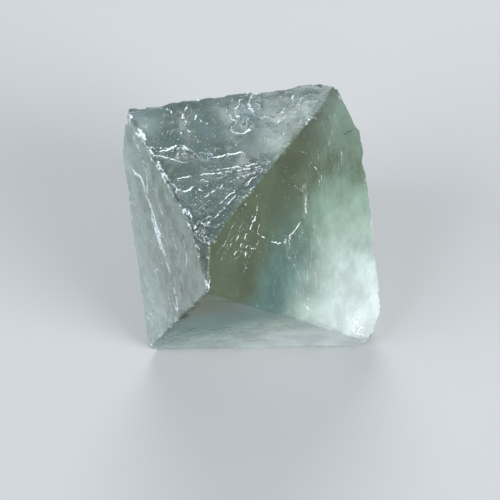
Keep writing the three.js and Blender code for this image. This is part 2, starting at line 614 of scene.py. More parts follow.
@dataclass(frozen=True)
class Chip:
    """A shell-shaped scoop out of the edge between two faces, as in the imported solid.

    Attributes:
        faces: The two faces.
        at: The way along the edge from its point nearest the middle.
        radius: The scoop's radius.
        bite: How far it goes in.
    """

    faces: tuple[Face, Face]
    at: float
    radius: float
    bite: float

    STRETCH = 1.5  # how much longer it is along the edge

    def ellipsoid(self, shell: Shell) -> tuple[np.ndarray, np.ndarray]:
        """The scoop as a stretched ball.

        Args:
            shell: The crystal's shell.

        Returns:
            Its middle, and the matrix that takes offsets from it to a ball of radius 1.
        """
        first, second = (shell.by_face(face) for face in self.faces)
        along = np.cross(first.normal, second.normal)
        along /= np.linalg.norm(along)
        levels = [first.normal @ first.foot, second.normal @ second.foot, along @ shell.middle]
        nearest = np.linalg.solve(np.stack([first.normal, second.normal, along]), levels)
        out = first.normal + second.normal
        out /= np.linalg.norm(out)
        middle = nearest + along * self.at + out * (self.radius - self.bite)
        axes = np.stack([along / self.STRETCH, np.cross(out, along), out]) / self.radius
        return middle, axes


@dataclass
class Chips:
    """All the edge scoops, ready to be measured.

    Attributes:
        balls: Each scoop's middle and matrix.
    """

    balls: list[tuple[np.ndarray, np.ndarray]]

    def bite(self, points: np.ndarray, normal: np.ndarray) -> np.ndarray:
        """How deep the scoops cut below points of one facet.

        Args:
            points: Points on the facet's plane, N by 3.
            normal: The facet's normal.

        Returns:
            Depths, 0 where there is no scoop.
        """
        deepest = np.zeros(len(points))
        inward = np.broadcast_to(-normal, points.shape)
        for middle, axes in self.balls:
            place, run = (points - middle) @ axes.T, inward @ axes.T
            inside = (place**2).sum(1) < 1
            if not inside.any():
                continue
            a, b = (run**2).sum(1), (place * run).sum(1)
            root = (-b + np.sqrt(np.maximum(b**2 - a * ((place**2).sum(1) - 1), 0))) / a
            deepest = np.maximum(deepest, np.where(inside, root, 0))
        return deepest


@dataclass(frozen=True)
class Wear:
    """How an edge between two facets has crumbled.

    Attributes:
        crumble: How deep the crumbs go.
        band: How far from the edge they reach.
        frost_and_glint: How white they are: crushed crystal, partly painted glints.
        round_off: How much the edge is rounded.
    """

    crumble: float = 0.045
    band: float = 0.28
    frost_and_glint: float = 0.5
    round_off: float = 0.04


def rough_noise(points: np.ndarray, size: float, octaves: int = 2) -> np.ndarray:
    """Smooth noise at points in space.

    Args:
        points: The points, N by 3.
        size: The size of its lumps.
        octaves: How many finer layers it has.

    Returns:
        Values around 0, mostly within -1 and 1.
    """
    basis = "PERLIN_ORIGINAL"
    return np.array([noise.fractal(Vector(p / size), 0.8, 2.0, octaves, noise_basis=basis) for p in points])


def cell_noise(points: np.ndarray, size: float) -> np.ndarray:
    """Noise that is even over irregular cells, for breaks with flat floors.

    Args:
        points: The points, N by 3.
        size: The size of its cells.

    Returns:
        Values from 0 to 1.
    """
    values = np.zeros(len(points))
    for row, point in enumerate(points):
        _, middles = noise.voronoi(Vector(point / size))
        values[row] = noise.cell(middles[0] * 37.0)
    return values * 0.5 + 0.5


# ---- The marks on each face -----------------------------------------------------------------

# A step line's points, drop, frost, wander and width. A streak field's middle, spread, direction,
# count, lengths, fan, drop, frost, wander and width. A terrace's outline, depth, frost and width.

LINES = {
    Face.UPPER: [
        StepLine(
            [(7.5, 0.3), (6.4, 0.0), (4.9, -0.3), (3.7, -0.4), (2.7, 0.5), (1.8, 1.4)],
            0.09, 1.1, 0.09, side=-1,
        ),
        StepLine([(1.8, 1.4), (0.2, 1.4), (-2.4, 1.2), (-3.0, 2.2), (-3.8, 3.0)], 0.1, 1.1, 0.06, side=-1),
        StepLine([(7.5, 0.3), (6.6, 0.6), (5.2, 1.1), (4.1, 1.5), (3.0, 2.1)], 0.08, 1.0, 0.06, side=-1),
        StepLine(
            [(5.6, 3.7), (4.9, 4.1), (4.1, 4.9), (3.5, 5.5), (2.6, 5.6), (1.8, 5.1)],
            0.08, 1.1, 0.1, side=-1,
        ),
        StepLine([(-4.8, 3.2), (-2.8, 3.4), (-0.5, 3.6), (1.4, 3.7), (4.2, 4.0)], 0.06, 0.85, 0.06),
        StepLine([(-4.8, 3.4), (-2.1, 4.5), (-0.3, 5.9), (1.1, 6.8)], 0.05, 0.6, 0.08),
        StepLine([(-4.4, 4.2), (-2.4, 6.1), (-0.6, 7.9), (0.4, 9.0)], 0.05, 0.64, 0.09),
        StepLine([(-3.9, 4.9), (-2.0, 7.2), (-0.7, 9.1), (0.6, 10.6)], 0.05, 0.64, 0.09),
        StepLine([(-4.6, 2.8), (-2.6, 2.9), (-0.4, 3.2), (1.6, 2.8)], 0.05, 0.6, 0.06),
        StepLine([(2.6, 1.9), (1.4, 2.6), (-0.6, 2.5), (-2.4, 2.0)], 0.05, 0.55, 0.08),
        StepLine([(8.4, -6.2), (7.4, -6.4), (6.2, -5.6), (5.6, -5.0)], 0.06, 0.8, 0.1),
        StepLine([(2.8, -1.2), (3.7, -3.0), (4.5, -4.7), (4.2, -6.2)], 0.07, 0.9, 0.14),
        StepLine([(3.7, -3.0), (3.0, -4.2), (2.9, -5.8)], 0.06, 0.75, 0.14),
        StepLine([(-2.8, -1.4), (-2.6, -3.2), (-2.9, -4.6), (-2.2, -6.6)], 0.05, 0.95, 0.14),
        StepLine([(-3.2, -1.8), (-2.0, -1.4), (-1.2, -1.8), (-1.0, -2.6)], 0.05, 0.95, 0.1),
        StepLine([(-1.4, -3.0), (-0.3, -4.3), (-0.4, -5.8)], 0.05, 0.8, 0.12),
        StepLine([(-2.0, -3.4), (-1.2, -4.4), (-1.4, -6.4)], 0.05, 0.8, 0.12),
        StepLine([(-6.2, -2.4), (-6.3, -3.6), (-5.8, -4.2), (-6.8, -5.0), (-7.0, -6.3)], 0.07, 1.0, 0.12),
        StepLine([(-5.4, -2.7), (-6.2, -3.2), (-7.4, -4.7), (-9.4, -5.1)], 0.07, 0.95, 0.12),
        StepLine([(-7.4, -4.7), (-8.3, -6.0), (-9.8, -5.9)], 0.06, 0.9, 0.1),
        StepLine([(-5.0, 0.6), (-6.0, -0.4), (-7.0, -1.6), (-8.2, -2.6)], 0.05, 0.6, 0.08),
        StepLine([(7.9, -1.4), (8.0, -3.4), (8.5, -5.2)], 0.05, 0.3, 0.07, 0.16),
        StepLine([(-1.0, 0.6), (-2.0, -0.2), (-2.4, -1.2)], 0.05, 0.55, 0.1),
    ],
    Face.RIGHT: [
        StepLine([(3.8, 7.5), (2.8, 7.9), (1.8, 7.0), (1.1, 5.8), (0.9, 4.7)], 0.05, 0.85, 0.05),
        StepLine([(1.1, 5.2), (0.7, 4.5), (1.1, 4.2), (0.8, 3.8)], 0.04, 0.6, 0.08),
        StepLine([(0.9, 4.7), (1.6, 3.1), (2.8, 1.3)], 0.06, 0.85, 0.03),
        StepLine([(2.8, 1.3), (4.0, 1.05), (5.2, 0.95)], 0.05, 0.75, 0.04),
        StepLine([(1.0, 12.0), (1.8, 10.8), (2.8, 9.6), (4.2, 8.0), (5.8, 7.3)], 0.04, 0.62),
        StepLine([(0.9, 9.9), (2.0, 9.6), (1.4, 8.7), (2.1, 8.0)], 0.04, 0.65, 0.08),
        StepLine([(1.9, 8.4), (1.2, 8.8), (0.9, 9.6)], 0.04, 0.55, 0.08),
        StepLine([(4.9, 1.0), (6.2, 2.4), (8.0, 4.3)], 0.05, 0.36, 0.05),
        StepLine([(10.4, 2.2), (9.2, 1.2), (8.8, -0.8), (9.4, -3.4)], 0.04, 0.34, 0.05),
        StepLine([(6.9, -1.1), (7.4, -0.4), (8.2, 0.2)], 0.03, 0.5, 0.08),
        StepLine([(-9.6, -1.4), (-10.6, -3.0), (-10.3, -5.2)], 0.07, 0.6, 0.12),
        StepLine([(-11.4, -3.4), (-12.0, -4.4), (-11.4, -5.8)], 0.07, 0.9, 0.14),
    ],
    Face.LEFT: [
        StepLine(
            [(-7.9, -5.2), (-6.9, -3.2), (-5.6, -1.6), (-4.4, -0.8), (-2.6, 0.3), (-1.0, 1.4), (0.4, 2.8)],
            0.1, 1.3, 0.12, 0.11,
        ),
        StepLine([(0.4, 2.8), (2.4, 3.9), (5.0, 4.8), (6.1, 4.4)], 0.07, 0.9, 0.08),
        StepLine([(-6.8, -1.8), (-5.2, -0.5), (-3.6, 0.6), (-2.0, 1.9), (-0.6, 3.4)], 0.07, 1.1, 0.14, 0.08),
        StepLine([(-12.6, -4.0), (-10.2, -2.9), (-8.2, -2.3), (-6.2, -1.2)], 0.06, 0.7, 0.12),
        StepLine([(-12.1, -3.1), (-9.6, -0.6), (-8.2, 0.5), (-6.8, 0.2), (-5.2, -0.6)], 0.06, 0.6, 0.12),
        StepLine([(2.3, 0.8), (2.6, -0.6), (3.2, -1.9)], 0.05, 1.0, 0.1),
        StepLine([(-4.0, -5.4), (-3.6, -7.0), (-2.9, -8.2)], 0.05, 0.8, 0.1),
        StepLine([(-3.4, 9.0), (-1.8, 9.8), (-0.2, 9.6)], 0.04, 0.6, 0.08),
        StepLine([(0.2, 6.8), (2.2, 7.2), (3.6, 6.4)], 0.04, 0.45, 0.08),
    ],
    Face.FRONT: [
        StepLine([(-11.0, -7.4), (-7.0, -3.6), (-3.0, -0.6), (0.6, 1.2)], 0.06, 0.22, 0.04, 0.4),
        StepLine([(-8.6, -7.6), (-4.6, -4.4), (-1.6, -2.4), (1.4, -1.6)], 0.06, 0.22, 0.04, 0.3),
        StepLine([(-6.2, -7.8), (-3.2, -5.6), (-0.6, -4.6)], 0.05, 0.2, 0.04, 0.3),
        StepLine([(-1.1, 11.8), (2.8, 9.6), (6.6, 3.3), (9.7, -2.5)], 0.04, 0.3),
        StepLine([(1.8, -2.2), (3.4, 0.0), (5.6, 0.9), (8.8, -0.8)], 0.04, 0.26, 0.07, 0.2),
    ],
}

HIDDEN_FIELDS = [
    StreakField((0.0, -1.0), (8.0, 6.0), 24, 30, (1.2, 5.0), 20, 0.03, 0.6, 0.06),
    StreakField((2.0, 2.5), (4.0, 4.0), 80, 20, (0.8, 3.0), 30, 0.03, 0.6, 0.1),
]

FIELDS = {
    Face.UPPER: [
        StreakField((-1.2, 5.0), (3.2, 1.7), 36, 34, (0.8, 3.6), 16, 0.02, 0.36),
        StreakField((-0.8, 7.8), (2.4, 1.4), 50, 28, (0.5, 2.6), 12, 0.02, 0.4, 0.06),
        StreakField((-3.8, 3.4), (1.6, 1.0), 20, 30, (0.4, 1.6), 30, 0.03, 0.62, 0.08),
        StreakField((0.9, 10.6), (1.4, 1.4), 100, 40, (0.3, 1.2), 60, 0.04, 0.68, 0.12),
        StreakField((3.4, -2.6), (3.2, 3.2), 98, 34, (0.3, 1.2), 30, 0.025, 0.5, 0.12),
        StreakField((-2.6, -4.0), (2.6, 1.9), 96, 40, (0.3, 1.2), 24, 0.02, 0.5, 0.14),
        StreakField((-6.8, -3.8), (3.0, 1.8), 48, 34, (0.3, 1.3), 34, 0.02, 0.5, 0.12),
        StreakField((1.8, 0.9), (3.4, 0.7), 176, 30, (0.3, 1.1), 20, 0.03, 0.66, 0.14),
        StreakField((5.6, -3.4), (3.0, 2.0), 80, 12, (0.4, 1.2), 30, 0.02, 0.4, 0.08),
        StreakField((2.8, 4.8), (2.4, 1.4), 160, 20, (0.3, 1.0), 30, 0.02, 0.5, 0.1),
    ],
    Face.RIGHT: [
        StreakField((3.6, 10.2), (2.6, 1.8), -56, 30, (0.8, 3.2), 8, 0.012, 0.36),
        StreakField((1.2, 10.4), (1.4, 1.6), -50, 12, (0.3, 1.0), 30, 0.02, 0.45, 0.08),
        StreakField((-2.2, 2.0), (3.4, 2.6), 2, 44, (1.2, 4.6), 0.0, 0.01, 0.34, 0.02),
        StreakField((-1.0, 5.6), (3.0, 2.2), 3, 22, (0.8, 3.4), 0.0, 0.008, 0.28, 0.02),
        StreakField((8.4, -2.0), (3.4, 3.4), 4, 24, (0.6, 3.0), 10, 0.012, 0.34, 0.05),
        StreakField((-7.6, 2.8), (1.1, 1.3), 60, 16, (0.2, 0.8), 60, 0.02, 0.5, 0.12),
        StreakField((-11.6, -4.4), (1.2, 1.4), 60, 22, (0.3, 1.2), 50, 0.03, 0.7, 0.12),
    ],
    Face.LEFT: [
        StreakField((-3.4, 0.0), (3.8, 0.5), 36, 90, (0.2, 0.9), 20, 0.04, 1.3, 0.1, 0.07),
        StreakField((-3.2, 2.0), (3.4, 1.4), 40, 44, (0.3, 1.4), 24, 0.02, 0.6, 0.1),
        StreakField((-1.4, 4.6), (3.4, 2.8), 44, 44, (0.3, 1.6), -8, 0.014, 0.5, 0.07),
        StreakField((-7.4, 1.4), (4.4, 1.0), 52, 34, (0.5, 2.4), -8, 0.014, 0.45, 0.05),
        StreakField((5.0, 3.6), (1.4, 1.6), 80, 26, (0.3, 1.0), 40, 0.02, 0.75, 0.12),
        StreakField((3.0, 1.2), (3.4, 3.0), 74, 24, (0.4, 1.6), 20, 0.012, 0.45, 0.06),
        StreakField((-2.6, -4.6), (4.6, 2.0), 66, 34, (0.4, 1.8), 24, 0.012, 0.5, 0.08),
        StreakField((8.6, -4.6), (2.6, 2.4), 70, 36, (0.4, 1.8), 16, 0.012, 0.6, 0.06),
    ],
    Face.FRONT: [
        StreakField((-5.4, -3.6), (3.6, 3.0), 52, 26, (2.0, 6.0), -10, 0.035, 0.15, 0.02, 0.2),
        StreakField((0.0, -4.6), (3.0, 3.0), 40, 14, (1.5, 4.0), -10, 0.025, 0.12, 0.02, 0.2),
    ],
    **dict.fromkeys((Face.BACK, Face.UNDER_RIGHT, Face.UNDER_LEFT), HIDDEN_FIELDS),
}

TERRACES = {
    Face.UPPER: [
        Terrace([(13, -6.2), (9.4, -5.9), (7, -6.1), (6.6, -8), (13, -8)], 0.35),
        Terrace([(-2.4, -8), (-2.6, -6.2), (-5.2, -5.9), (-5.9, -6.5), (-6.2, -8)], 0.28),
        Terrace(
            [(10, -0.4), (5.7, -0.4), (3.6, -0.2), (1.8, 1.4), (3.4, 2.1), (5.9, 0.6), (9, 1.4)],
            0.16, 0.5, 0.1,
        ),
        Terrace([(2.6, 10.2), (0.9, 9.6), (-0.3, 10.4), (-1.6, 10), (-1.4, 16), (2, 16)], 0.22, 0.35),
    ],
    Face.RIGHT: [
        Terrace(
            [(6.2, 6.7), (4.1, 7.2), (2.4, 7.4), (0.8, 4.6), (1.5, 2.8), (2.7, 1.1), (6.4, 0.6)],
            0.14, 0.04, 0.5,
        ),
        Terrace([(14, -2.6), (11.2, -3.4), (9.4, -5.4), (9.6, -9), (18, -9)], 0.3, 0.25),
        Terrace([(-8.2, -9), (-8.8, -5.6), (-10.4, -2.8), (-12.6, -1.6), (-16, -9)], 0.26, 0.25),
    ],
    Face.LEFT: [
        Terrace([(-14, -3.6), (-9.1, -2.2), (-4.1, 0), (-1, -0.4), (-5, -3.4), (-14, -5.6)], 0.32, 0.06, 0.6),
        Terrace([(-12, -2.2), (-7.6, 2.2), (-3.6, 7.2), (-1.4, 10.8), (-6, 14), (-15, 2)], 0.24, 0.04, 0.8),
    ],
    Face.BACK: [
        Terrace([(-10, 5), (-4, 2.6), (0.5, 3.4), (1.4, 9), (-10, 9)], 0.3, 0.16, 0.34),
        Terrace([(12, 1), (5.5, -0.6), (2.4, -4.6), (3.2, -9), (9, -9)], 0.18, 0.16, 0.34),
    ],
    Face.UNDER_RIGHT: [
        Terrace([(-14, 3.2), (-6.2, 1.8), (-3.6, 4.4), (-3.2, 12), (-14, 12)], 0.26, 0.16, 0.34),
        Terrace([(9, -2.4), (4.2, -3.2), (1.4, -7.8), (2, -14), (12, -10)], 0.2, 0.16, 0.34),
    ],
    Face.UNDER_LEFT: [
        Terrace([(13, 2.4), (6.6, 1.2), (2.2, 3.8), (2.4, 12), (13, 12)], 0.3, 0.16, 0.34),
        Terrace([(-8, -1), (-3.2, -2.2), (-1.6, -6.8), (-3, -13), (-11, -8)], 0.2, 0.16, 0.34),
    ],
}

# For each edge between two faces, its chips: place, radius and bite.
CHIPS = {
    (Face.UPPER, Face.LEFT): [(-8.4, 1.6, 0.34), (-2.6, 1.1, 0.22), (3.2, 1.9, 0.3), (6.9, 1.2, 0.34)],
    (Face.UPPER, Face.RIGHT): [(-5.4, 1.4, 0.26), (0.8, 1.7, 0.3), (4.6, 1.1, 0.24), (8.8, 2.2, 0.36)],
    (Face.UPPER, Face.BACK): [(-6.4, 1.5, 0.3), (0.6, 1.2, 0.22), (7.2, 1.8, 0.3)],
    (Face.LEFT, Face.FRONT): [(-5, 1.3, 0.26), (2.4, 1.8, 0.34)],
    (Face.RIGHT, Face.FRONT): [(3.4, 1.5, 0.2)],
    (Face.RIGHT, Face.UNDER_RIGHT): [(-3.8, 1.6, 0.24), (5.6, 1.3, 0.26)],
    (Face.LEFT, Face.UNDER_LEFT): [(-4.6, 1.5, 0.28), (3.8, 1.9, 0.24)],
    (Face.FRONT, Face.BASE): [(-3.2, 1.6, 0.2), (6.1, 1.2, 0.22)],
    (Face.BACK, Face.UNDER_RIGHT): [(3.4, 1.7, 0.34)],
    (Face.BACK, Face.UNDER_LEFT): [(-3.6, 2.1, 0.4), (5.2, 1.4, 0.28)],
}

# None is a break, and any other edge has the plain wear.
EDGE_WEAR = {
    frozenset((Face.UPPER, Face.LEFT)): Wear(0.20, 0.75, 0.98, 0.08),
    frozenset((Face.UPPER, Face.RIGHT)): Wear(0.10, 0.34, 0.45, 0.06),
    frozenset((Face.UPPER, None)): Wear(0.16, 0.45, 0.7, 0.08),
    frozenset((Face.LEFT, None)): Wear(0.14, 0.5, 0.7, 0.08),
    frozenset((Face.LEFT, Face.FRONT)): Wear(0.08, 0.35, 0.6, 0.08),
    frozenset((Face.RIGHT, Face.FRONT)): Wear(0.04, 0.5, 0.12, 0.16),
    frozenset((Face.UPPER, Face.BACK)): Wear(0.06, 0.22, 0.7, 0.04),
    frozenset((Face.BASE, Face.FRONT)): Wear(0.06, 0.25, 0.4, 0.04),
}


# ---- The fine surface -----------------------------------------------------------------------


class FineSurface:
    """The crystal's skin with its steps, lines, chips and crumbled edges, as one closed mesh."""

    SHOWN = (Face.UPPER, Face.RIGHT, Face.FRONT, Face.LEFT)
    SAME_CORNER = 1e-3
    # The grid of points on a facet.
    EDGE_STEP = 0.16
    FINE_GRID = 0.15
    GRID_JITTER = 0.28  # in grid steps
    GRID_BORDER = 0.55  # in grid steps
    MARK_BORDER = 0.09
    MARK_CELL = 0.085  # no grid point this near to a mark's own points
    SHOWN_EVERY, HIDDEN_EVERY, BASE_EVERY = 2, 3, 8
    BASE_FINE = 0.5
    # The crumbled edges.
    WORN_WITHIN = 1.6
    PATCH_SIZE, CELL_SIZE, CRUMB_SIZE = 1.7, 0.3, 0.35
    PATCH_LIMITS = (0.15, 1.6)
    # The rough breaks.
    LUMP_SIZE, LUMP_DEPTH, LUMP_RISE = 0.5, 0.14, 0.25
    WHITE_LUMPS = 0.84
    # The slow swell of the cleavage faces, and the rim of the base face.
    SWELL_SIZE, SWELL_DEPTH, SWELL_RISE = 3.2, 0.045, 1.5
    BASE_RIM = 0.4
    # The points beside an edge that move with it.
    SHIFT_REACH = 1.3
    MOST_SHIFT = 1.6  # in depths

    def __init__(self, shell: Shell) -> None:
        """Sets up the surface.

        Args:
            shell: The crystal's shell.
        """
        self.shell = shell
        self.random = np.random.default_rng(SEED)
        self.chips = Chips([Chip(faces, *row).ellipsoid(shell) for faces, rows in CHIPS.items() for row in rows])
        self.points: list[np.ndarray] = []
        self.owners: list[list[tuple[int, float, float]]] = []
        self.triangles: Triangles = []
        self.corner_points: list[int] = []
        self.sides: dict[tuple[int, int], list[int]] = {}

    def _new_point(self, point: np.ndarray) -> int:
        """Adds one point of the shell.

        Args:
            point: The point.

        Returns:
            Its index.
        """
        self.points.append(point)
        self.owners.append([])
        return len(self.points) - 1

    def _corner(self, point: np.ndarray) -> int:
        """Finds a corner of the shell, or adds it.

        Args:
            point: The corner.

        Returns:
            Its index.
        """
        for index in self.corner_points:
            if np.linalg.norm(self.points[index] - point) < self.SAME_CORNER:
                return index
        self.corner_points.append(self._new_point(point))
        return self.corner_points[-1]

    def _side(self, index: int, side: int) -> list[int]:
        """The points along one side of a facet, the same for both facets that meet there.

        Args:
            index: The facet.
            side: Its side.

        Returns:
            Indices from the side's start up to, but without, its end.
        """
        facet = self.shell.facets[index]
        start, end = facet.corners[side], facet.corners[(side + 1) % len(facet.corners)]
        first, last = (self._corner(facet.space(corner)) for corner in (start, end))
        if first == last:
            return []
        key = (min(first, last), max(first, last))
        if key not in self.sides:
            a, b = self.points[key[0]], self.points[key[1]]
            count = max(1, round(np.linalg.norm(b - a) / self.EDGE_STEP))
            inner = [self._new_point(a + (b - a) * k / count) for k in range(1, count)]
            self.sides[key] = [key[0], *inner, key[1]]
        row = self.sides[key]
        return (row if first == key[0] else row[::-1])[:-1]

    def _wear(self, index: int) -> list[Wear]:
        """The wear on each side of a facet.

        Args:
            index: The facet.

        Returns:
            One wear for each side.
        """
        facets = self.shell.facets
        pairs = [frozenset((facets[index].face, facets[other].face)) for other in facets[index].beyond]
        return [EDGE_WEAR.get(pair, Wear()) for pair in pairs]

    def of_facet(self, index: int) -> np.ndarray:
        """Which points lie on a facet.

        Args:
            index: The facet.

        Returns:
            Their indices.
        """
        mine = [k for k, owned in enumerate(self.owners) if any(entry[0] == index for entry in owned)]
        return np.array(mine, int)

    def _relief(self, index: int, marks: list[Mark], flat: np.ndarray) -> Relief:
        """The relief of one facet at flat points, without the edge scoops.

        Args:
            index: The facet.
            marks: Its step lines and terraces.
            flat: The flat points.

        Returns:
            The relief.
        """
        facet = self.shell.facets[index]
        relief = Relief(np.zeros(len(flat)), np.zeros(len(flat)))
        for mark in marks:
            mark.add_to(flat, relief)
        space = facet.space(flat)
        inside = np.maximum(facet.depth_inside(flat), 0)
        edge = inside.min(1)
        self._crumble(index, space, inside, relief)
        if facet.face is None:
            lumps = cell_noise(space, self.LUMP_SIZE)
            relief.depth += self.LUMP_DEPTH * lumps * np.clip(edge / self.LUMP_RISE, 0, 1)
            relief.frost_and_glint = np.maximum(relief.frost_and_glint * 0.7, 0.4 * (lumps > self.WHITE_LUMPS) + 0.1)
        if facet.face is Face.BASE:
            relief.depth *= np.clip(1 - edge / self.BASE_RIM, 0, 1)
        else:
            swell = self.SWELL_DEPTH * (1 + rough_noise(space, self.SWELL_SIZE, 1))
            relief.depth += swell * np.clip(edge / self.SWELL_RISE, 0, 1)
        return relief

    def _crumble(self, index: int, space: np.ndarray, inside: np.ndarray, relief: Relief) -> None:
        """Adds a facet's crumbled edges to its relief.

        Args:
            index: The facet.
            space: The points in space.
            inside: How far each is inside each side.
            relief: Gets the additions.
        """
        near = np.flatnonzero(inside.min(1) < self.WORN_WITHIN)
        place = space[near]
        patch = np.clip(rough_noise(place, self.PATCH_SIZE) * 1.3 + 0.75, *self.PATCH_LIMITS)
        cells = cell_noise(place, self.CELL_SIZE)
        fine = rough_noise(place, self.CRUMB_SIZE, 2)
        evenly = np.clip(0.45 + 0.4 * patch, 0.5, 0.85)
        speckled = np.clip(0.3 + 1.1 * cells + fine, 0, 1.2)
        for side, wear in enumerate(self._wear(index)):
            gap = inside[near, side]
            closeness = np.clip(1 - gap / np.maximum(wear.band * patch, TINY), 0, 1)
            crumb = wear.crumble * patch * np.sqrt(closeness) * (0.35 + cells + 0.4 * fine)
            rounding = wear.round_off * np.clip(1 - gap / (3.5 * wear.round_off + 0.02), 0, 1) ** 2
            relief.depth[near] += np.maximum(crumb, 0) * (closeness > 0) + rounding
            white = wear.frost_and_glint * evenly * np.clip(closeness * 2.2, 0, 1) * speckled
            relief.frost_and_glint[near] = np.maximum(relief.frost_and_glint[near], white)

    def _mark_points(self, facet: Facet, marks: list[Mark]) -> tuple[np.ndarray, Pairs]:
        """The marks' own points inside a facet's outline.

        Args:
            facet: The facet.
            marks: Its step lines and terraces.

        Returns:
            Flat points, and the joined pairs of indices into them.
        """
        rows, pairs, total = [no_points()], [], 0
        for mark in marks:
            for row, joined in mark.rings():
                inside = facet.depth_inside(row).min(1) > self.MARK_BORDER
                where = np.cumsum(inside) - 1 + total
                if joined:
                    both = np.flatnonzero(inside[:-1] & inside[1:])
                    pairs += [(int(where[k]), int(where[k + 1])) for k in both]
                rows.append(row[inside])
                total += int(inside.sum())
        return np.vstack(rows), pairs

    def _grid_points(self, facet: Facet, wear: list[Wear]) -> np.ndarray:
        """A jittered grid inside a facet's outline, fine near its worn edges and chips.

        Args:
            facet: The facet.
            wear: The wear on each of its sides.

        Returns:
            Flat points.
        """
        low, high = facet.corners.min(0), facet.corners.max(0)
        count = ((high - low) / self.FINE_GRID).astype(int) + 1
        grid = np.stack(np.meshgrid(np.arange(count[0]), np.arange(count[1]), indexing="ij"), -1)
        grid = grid.reshape(-1, 2)
        jitter = self.random.uniform(-self.GRID_JITTER, self.GRID_JITTER, grid.shape)
        flat = low + (grid + 0.5 * (grid[:, 1:] % 2) * [1, 0] + jitter) * self.FINE_GRID
        inside = facet.depth_inside(flat)
        within = inside.min(1) > self.GRID_BORDER * self.FINE_GRID
        if facet.face is Face.BASE:
            every, fine = self.BASE_EVERY, inside.min(1) < self.BASE_FINE
        else:
            every = self.SHOWN_EVERY if facet.face in self.SHOWN else self.HIDDEN_EVERY
            fine = (inside < np.array([1.1 * w.band for w in wear])).any(1)
            fine |= self.chips.bite(facet.space(flat), facet.normal) > 0
        return flat[within & (fine | (grid % every == 0).all(1))]

    def _inner_points(self, facet: Facet, marks: list[Mark], wear: list[Wear]) -> tuple[np.ndarray, Pairs]:
        """Flat points inside a facet's outline and the joined pairs among them.

        Args:
            facet: The facet.
            marks: Its step lines and terraces.
            wear: The wear on each of its sides.

        Returns:
            The points, and pairs of indices into them.
        """
        marked, pairs = self._mark_points(facet, marks)
        flat = self._grid_points(facet, wear)
        taken = {tuple(cell) for cell in np.floor(marked / self.MARK_CELL).astype(int)}
        cells = np.floor(flat / self.MARK_CELL).astype(int)
        beside = [(a, b) for a in (-1, 0, 1) for b in (-1, 0, 1)]
        free = [not any((cell[0] + a, cell[1] + b) in taken for a, b in beside) for cell in cells]
        return np.vstack([marked, flat[np.array(free, bool)]]), pairs

    def _add_facet(self, index: int) -> None:
        """Meshes one facet and records how deep each of its points lies.

        Args:
            index: The facet.
        """
        facet = self.shell.facets[index]
        marks = [*TERRACES.get(facet.face, []), *LINES.get(facet.face, [])]
        for streaks in FIELDS.get(facet.face, []):
            marks += streaks.lines(self.random)
        for mark in marks:
            mark.lay(self.random)
        border = [i for side in range(len(facet.corners)) for i in self._side(index, side)]
        if len(border) < 3:
            return
        inner, pairs = self._inner_points(facet, marks, self._wear(index))
        outer = facet.flat(np.array([self.points[i] for i in border]))
        edges = [(k, (k + 1) % len(border)) for k in range(len(border))]
        edges += [(a + len(border), b + len(border)) for a, b in pairs]
        made, _, faces, origins, _, _ = delaunay_2d_cdt(
            [Vector(p) for p in np.vstack([outer, inner])], edges, [list(range(len(border)))], 1, 1e-6
        )
        made_flat = np.array([tuple(p) for p in made])
        relief = self._relief(index, marks, made_flat)
        space = facet.space(made_flat)
        bite = self.chips.bite(space, facet.normal)
        relief.frost_and_glint *= 1 - 0.8 * np.clip(bite * 5, 0, 1)
        names = []
        for k, origin in enumerate(origins):
            at_border = [o for o in origin if o < len(border)]
            name = border[at_border[0]] if at_border else self._new_point(space[k])
            names.append(name)
            frost_and_glint = max(relief.frost_and_glint[k], 0.2 * min(bite[k] * 6, 1))
            self.owners[name].append((index, max(relief.depth[k], bite[k]), frost_and_glint))
        for face in faces:
            corners = [names[k] for k in face]
            if len(set(corners)) == 3:
                self.triangles.append(tuple(corners))
        LOG.info("facet %s: %d points, %d triangles", facet.face, len(made_flat), len(faces))

    def build(self) -> tuple[np.ndarray, Triangles, np.ndarray]:
        """Meshes every facet and moves each point in by its depth on each facet that it is on.

        Returns:
            Points in space, triangles, and each point's frost.
        """
        for index in range(len(self.shell.facets)):
            self._add_facet(index)
        points = np.array(self.points)
        moved = np.zeros_like(points)
        frost_and_glint = np.zeros(len(points))
        normals = np.array([facet.normal for facet in self.shell.facets])
        for k, owned in enumerate(self.owners):
            if not owned:
                continue
            frost_and_glint[k] = max(entry[2] for entry in owned)
            if len(owned) == 1:
                moved[k] = -normals[owned[0][0]] * owned[0][1]
                continue
            rows = np.array([normals[entry[0]] for entry in owned])
            wanted = -np.array([entry[1] for entry in owned])
            step = np.linalg.lstsq(rows, wanted, rcond=0.05)[0]
            limit, size = self.MOST_SHIFT * np.abs(wanted).max(), np.linalg.norm(step)
            moved[k] = step * min(1, limit / max(size, TINY))
        self._shift_beside_sides(points, moved)
        return points + moved, self.triangles, np.clip(frost_and_glint, 0, 1)

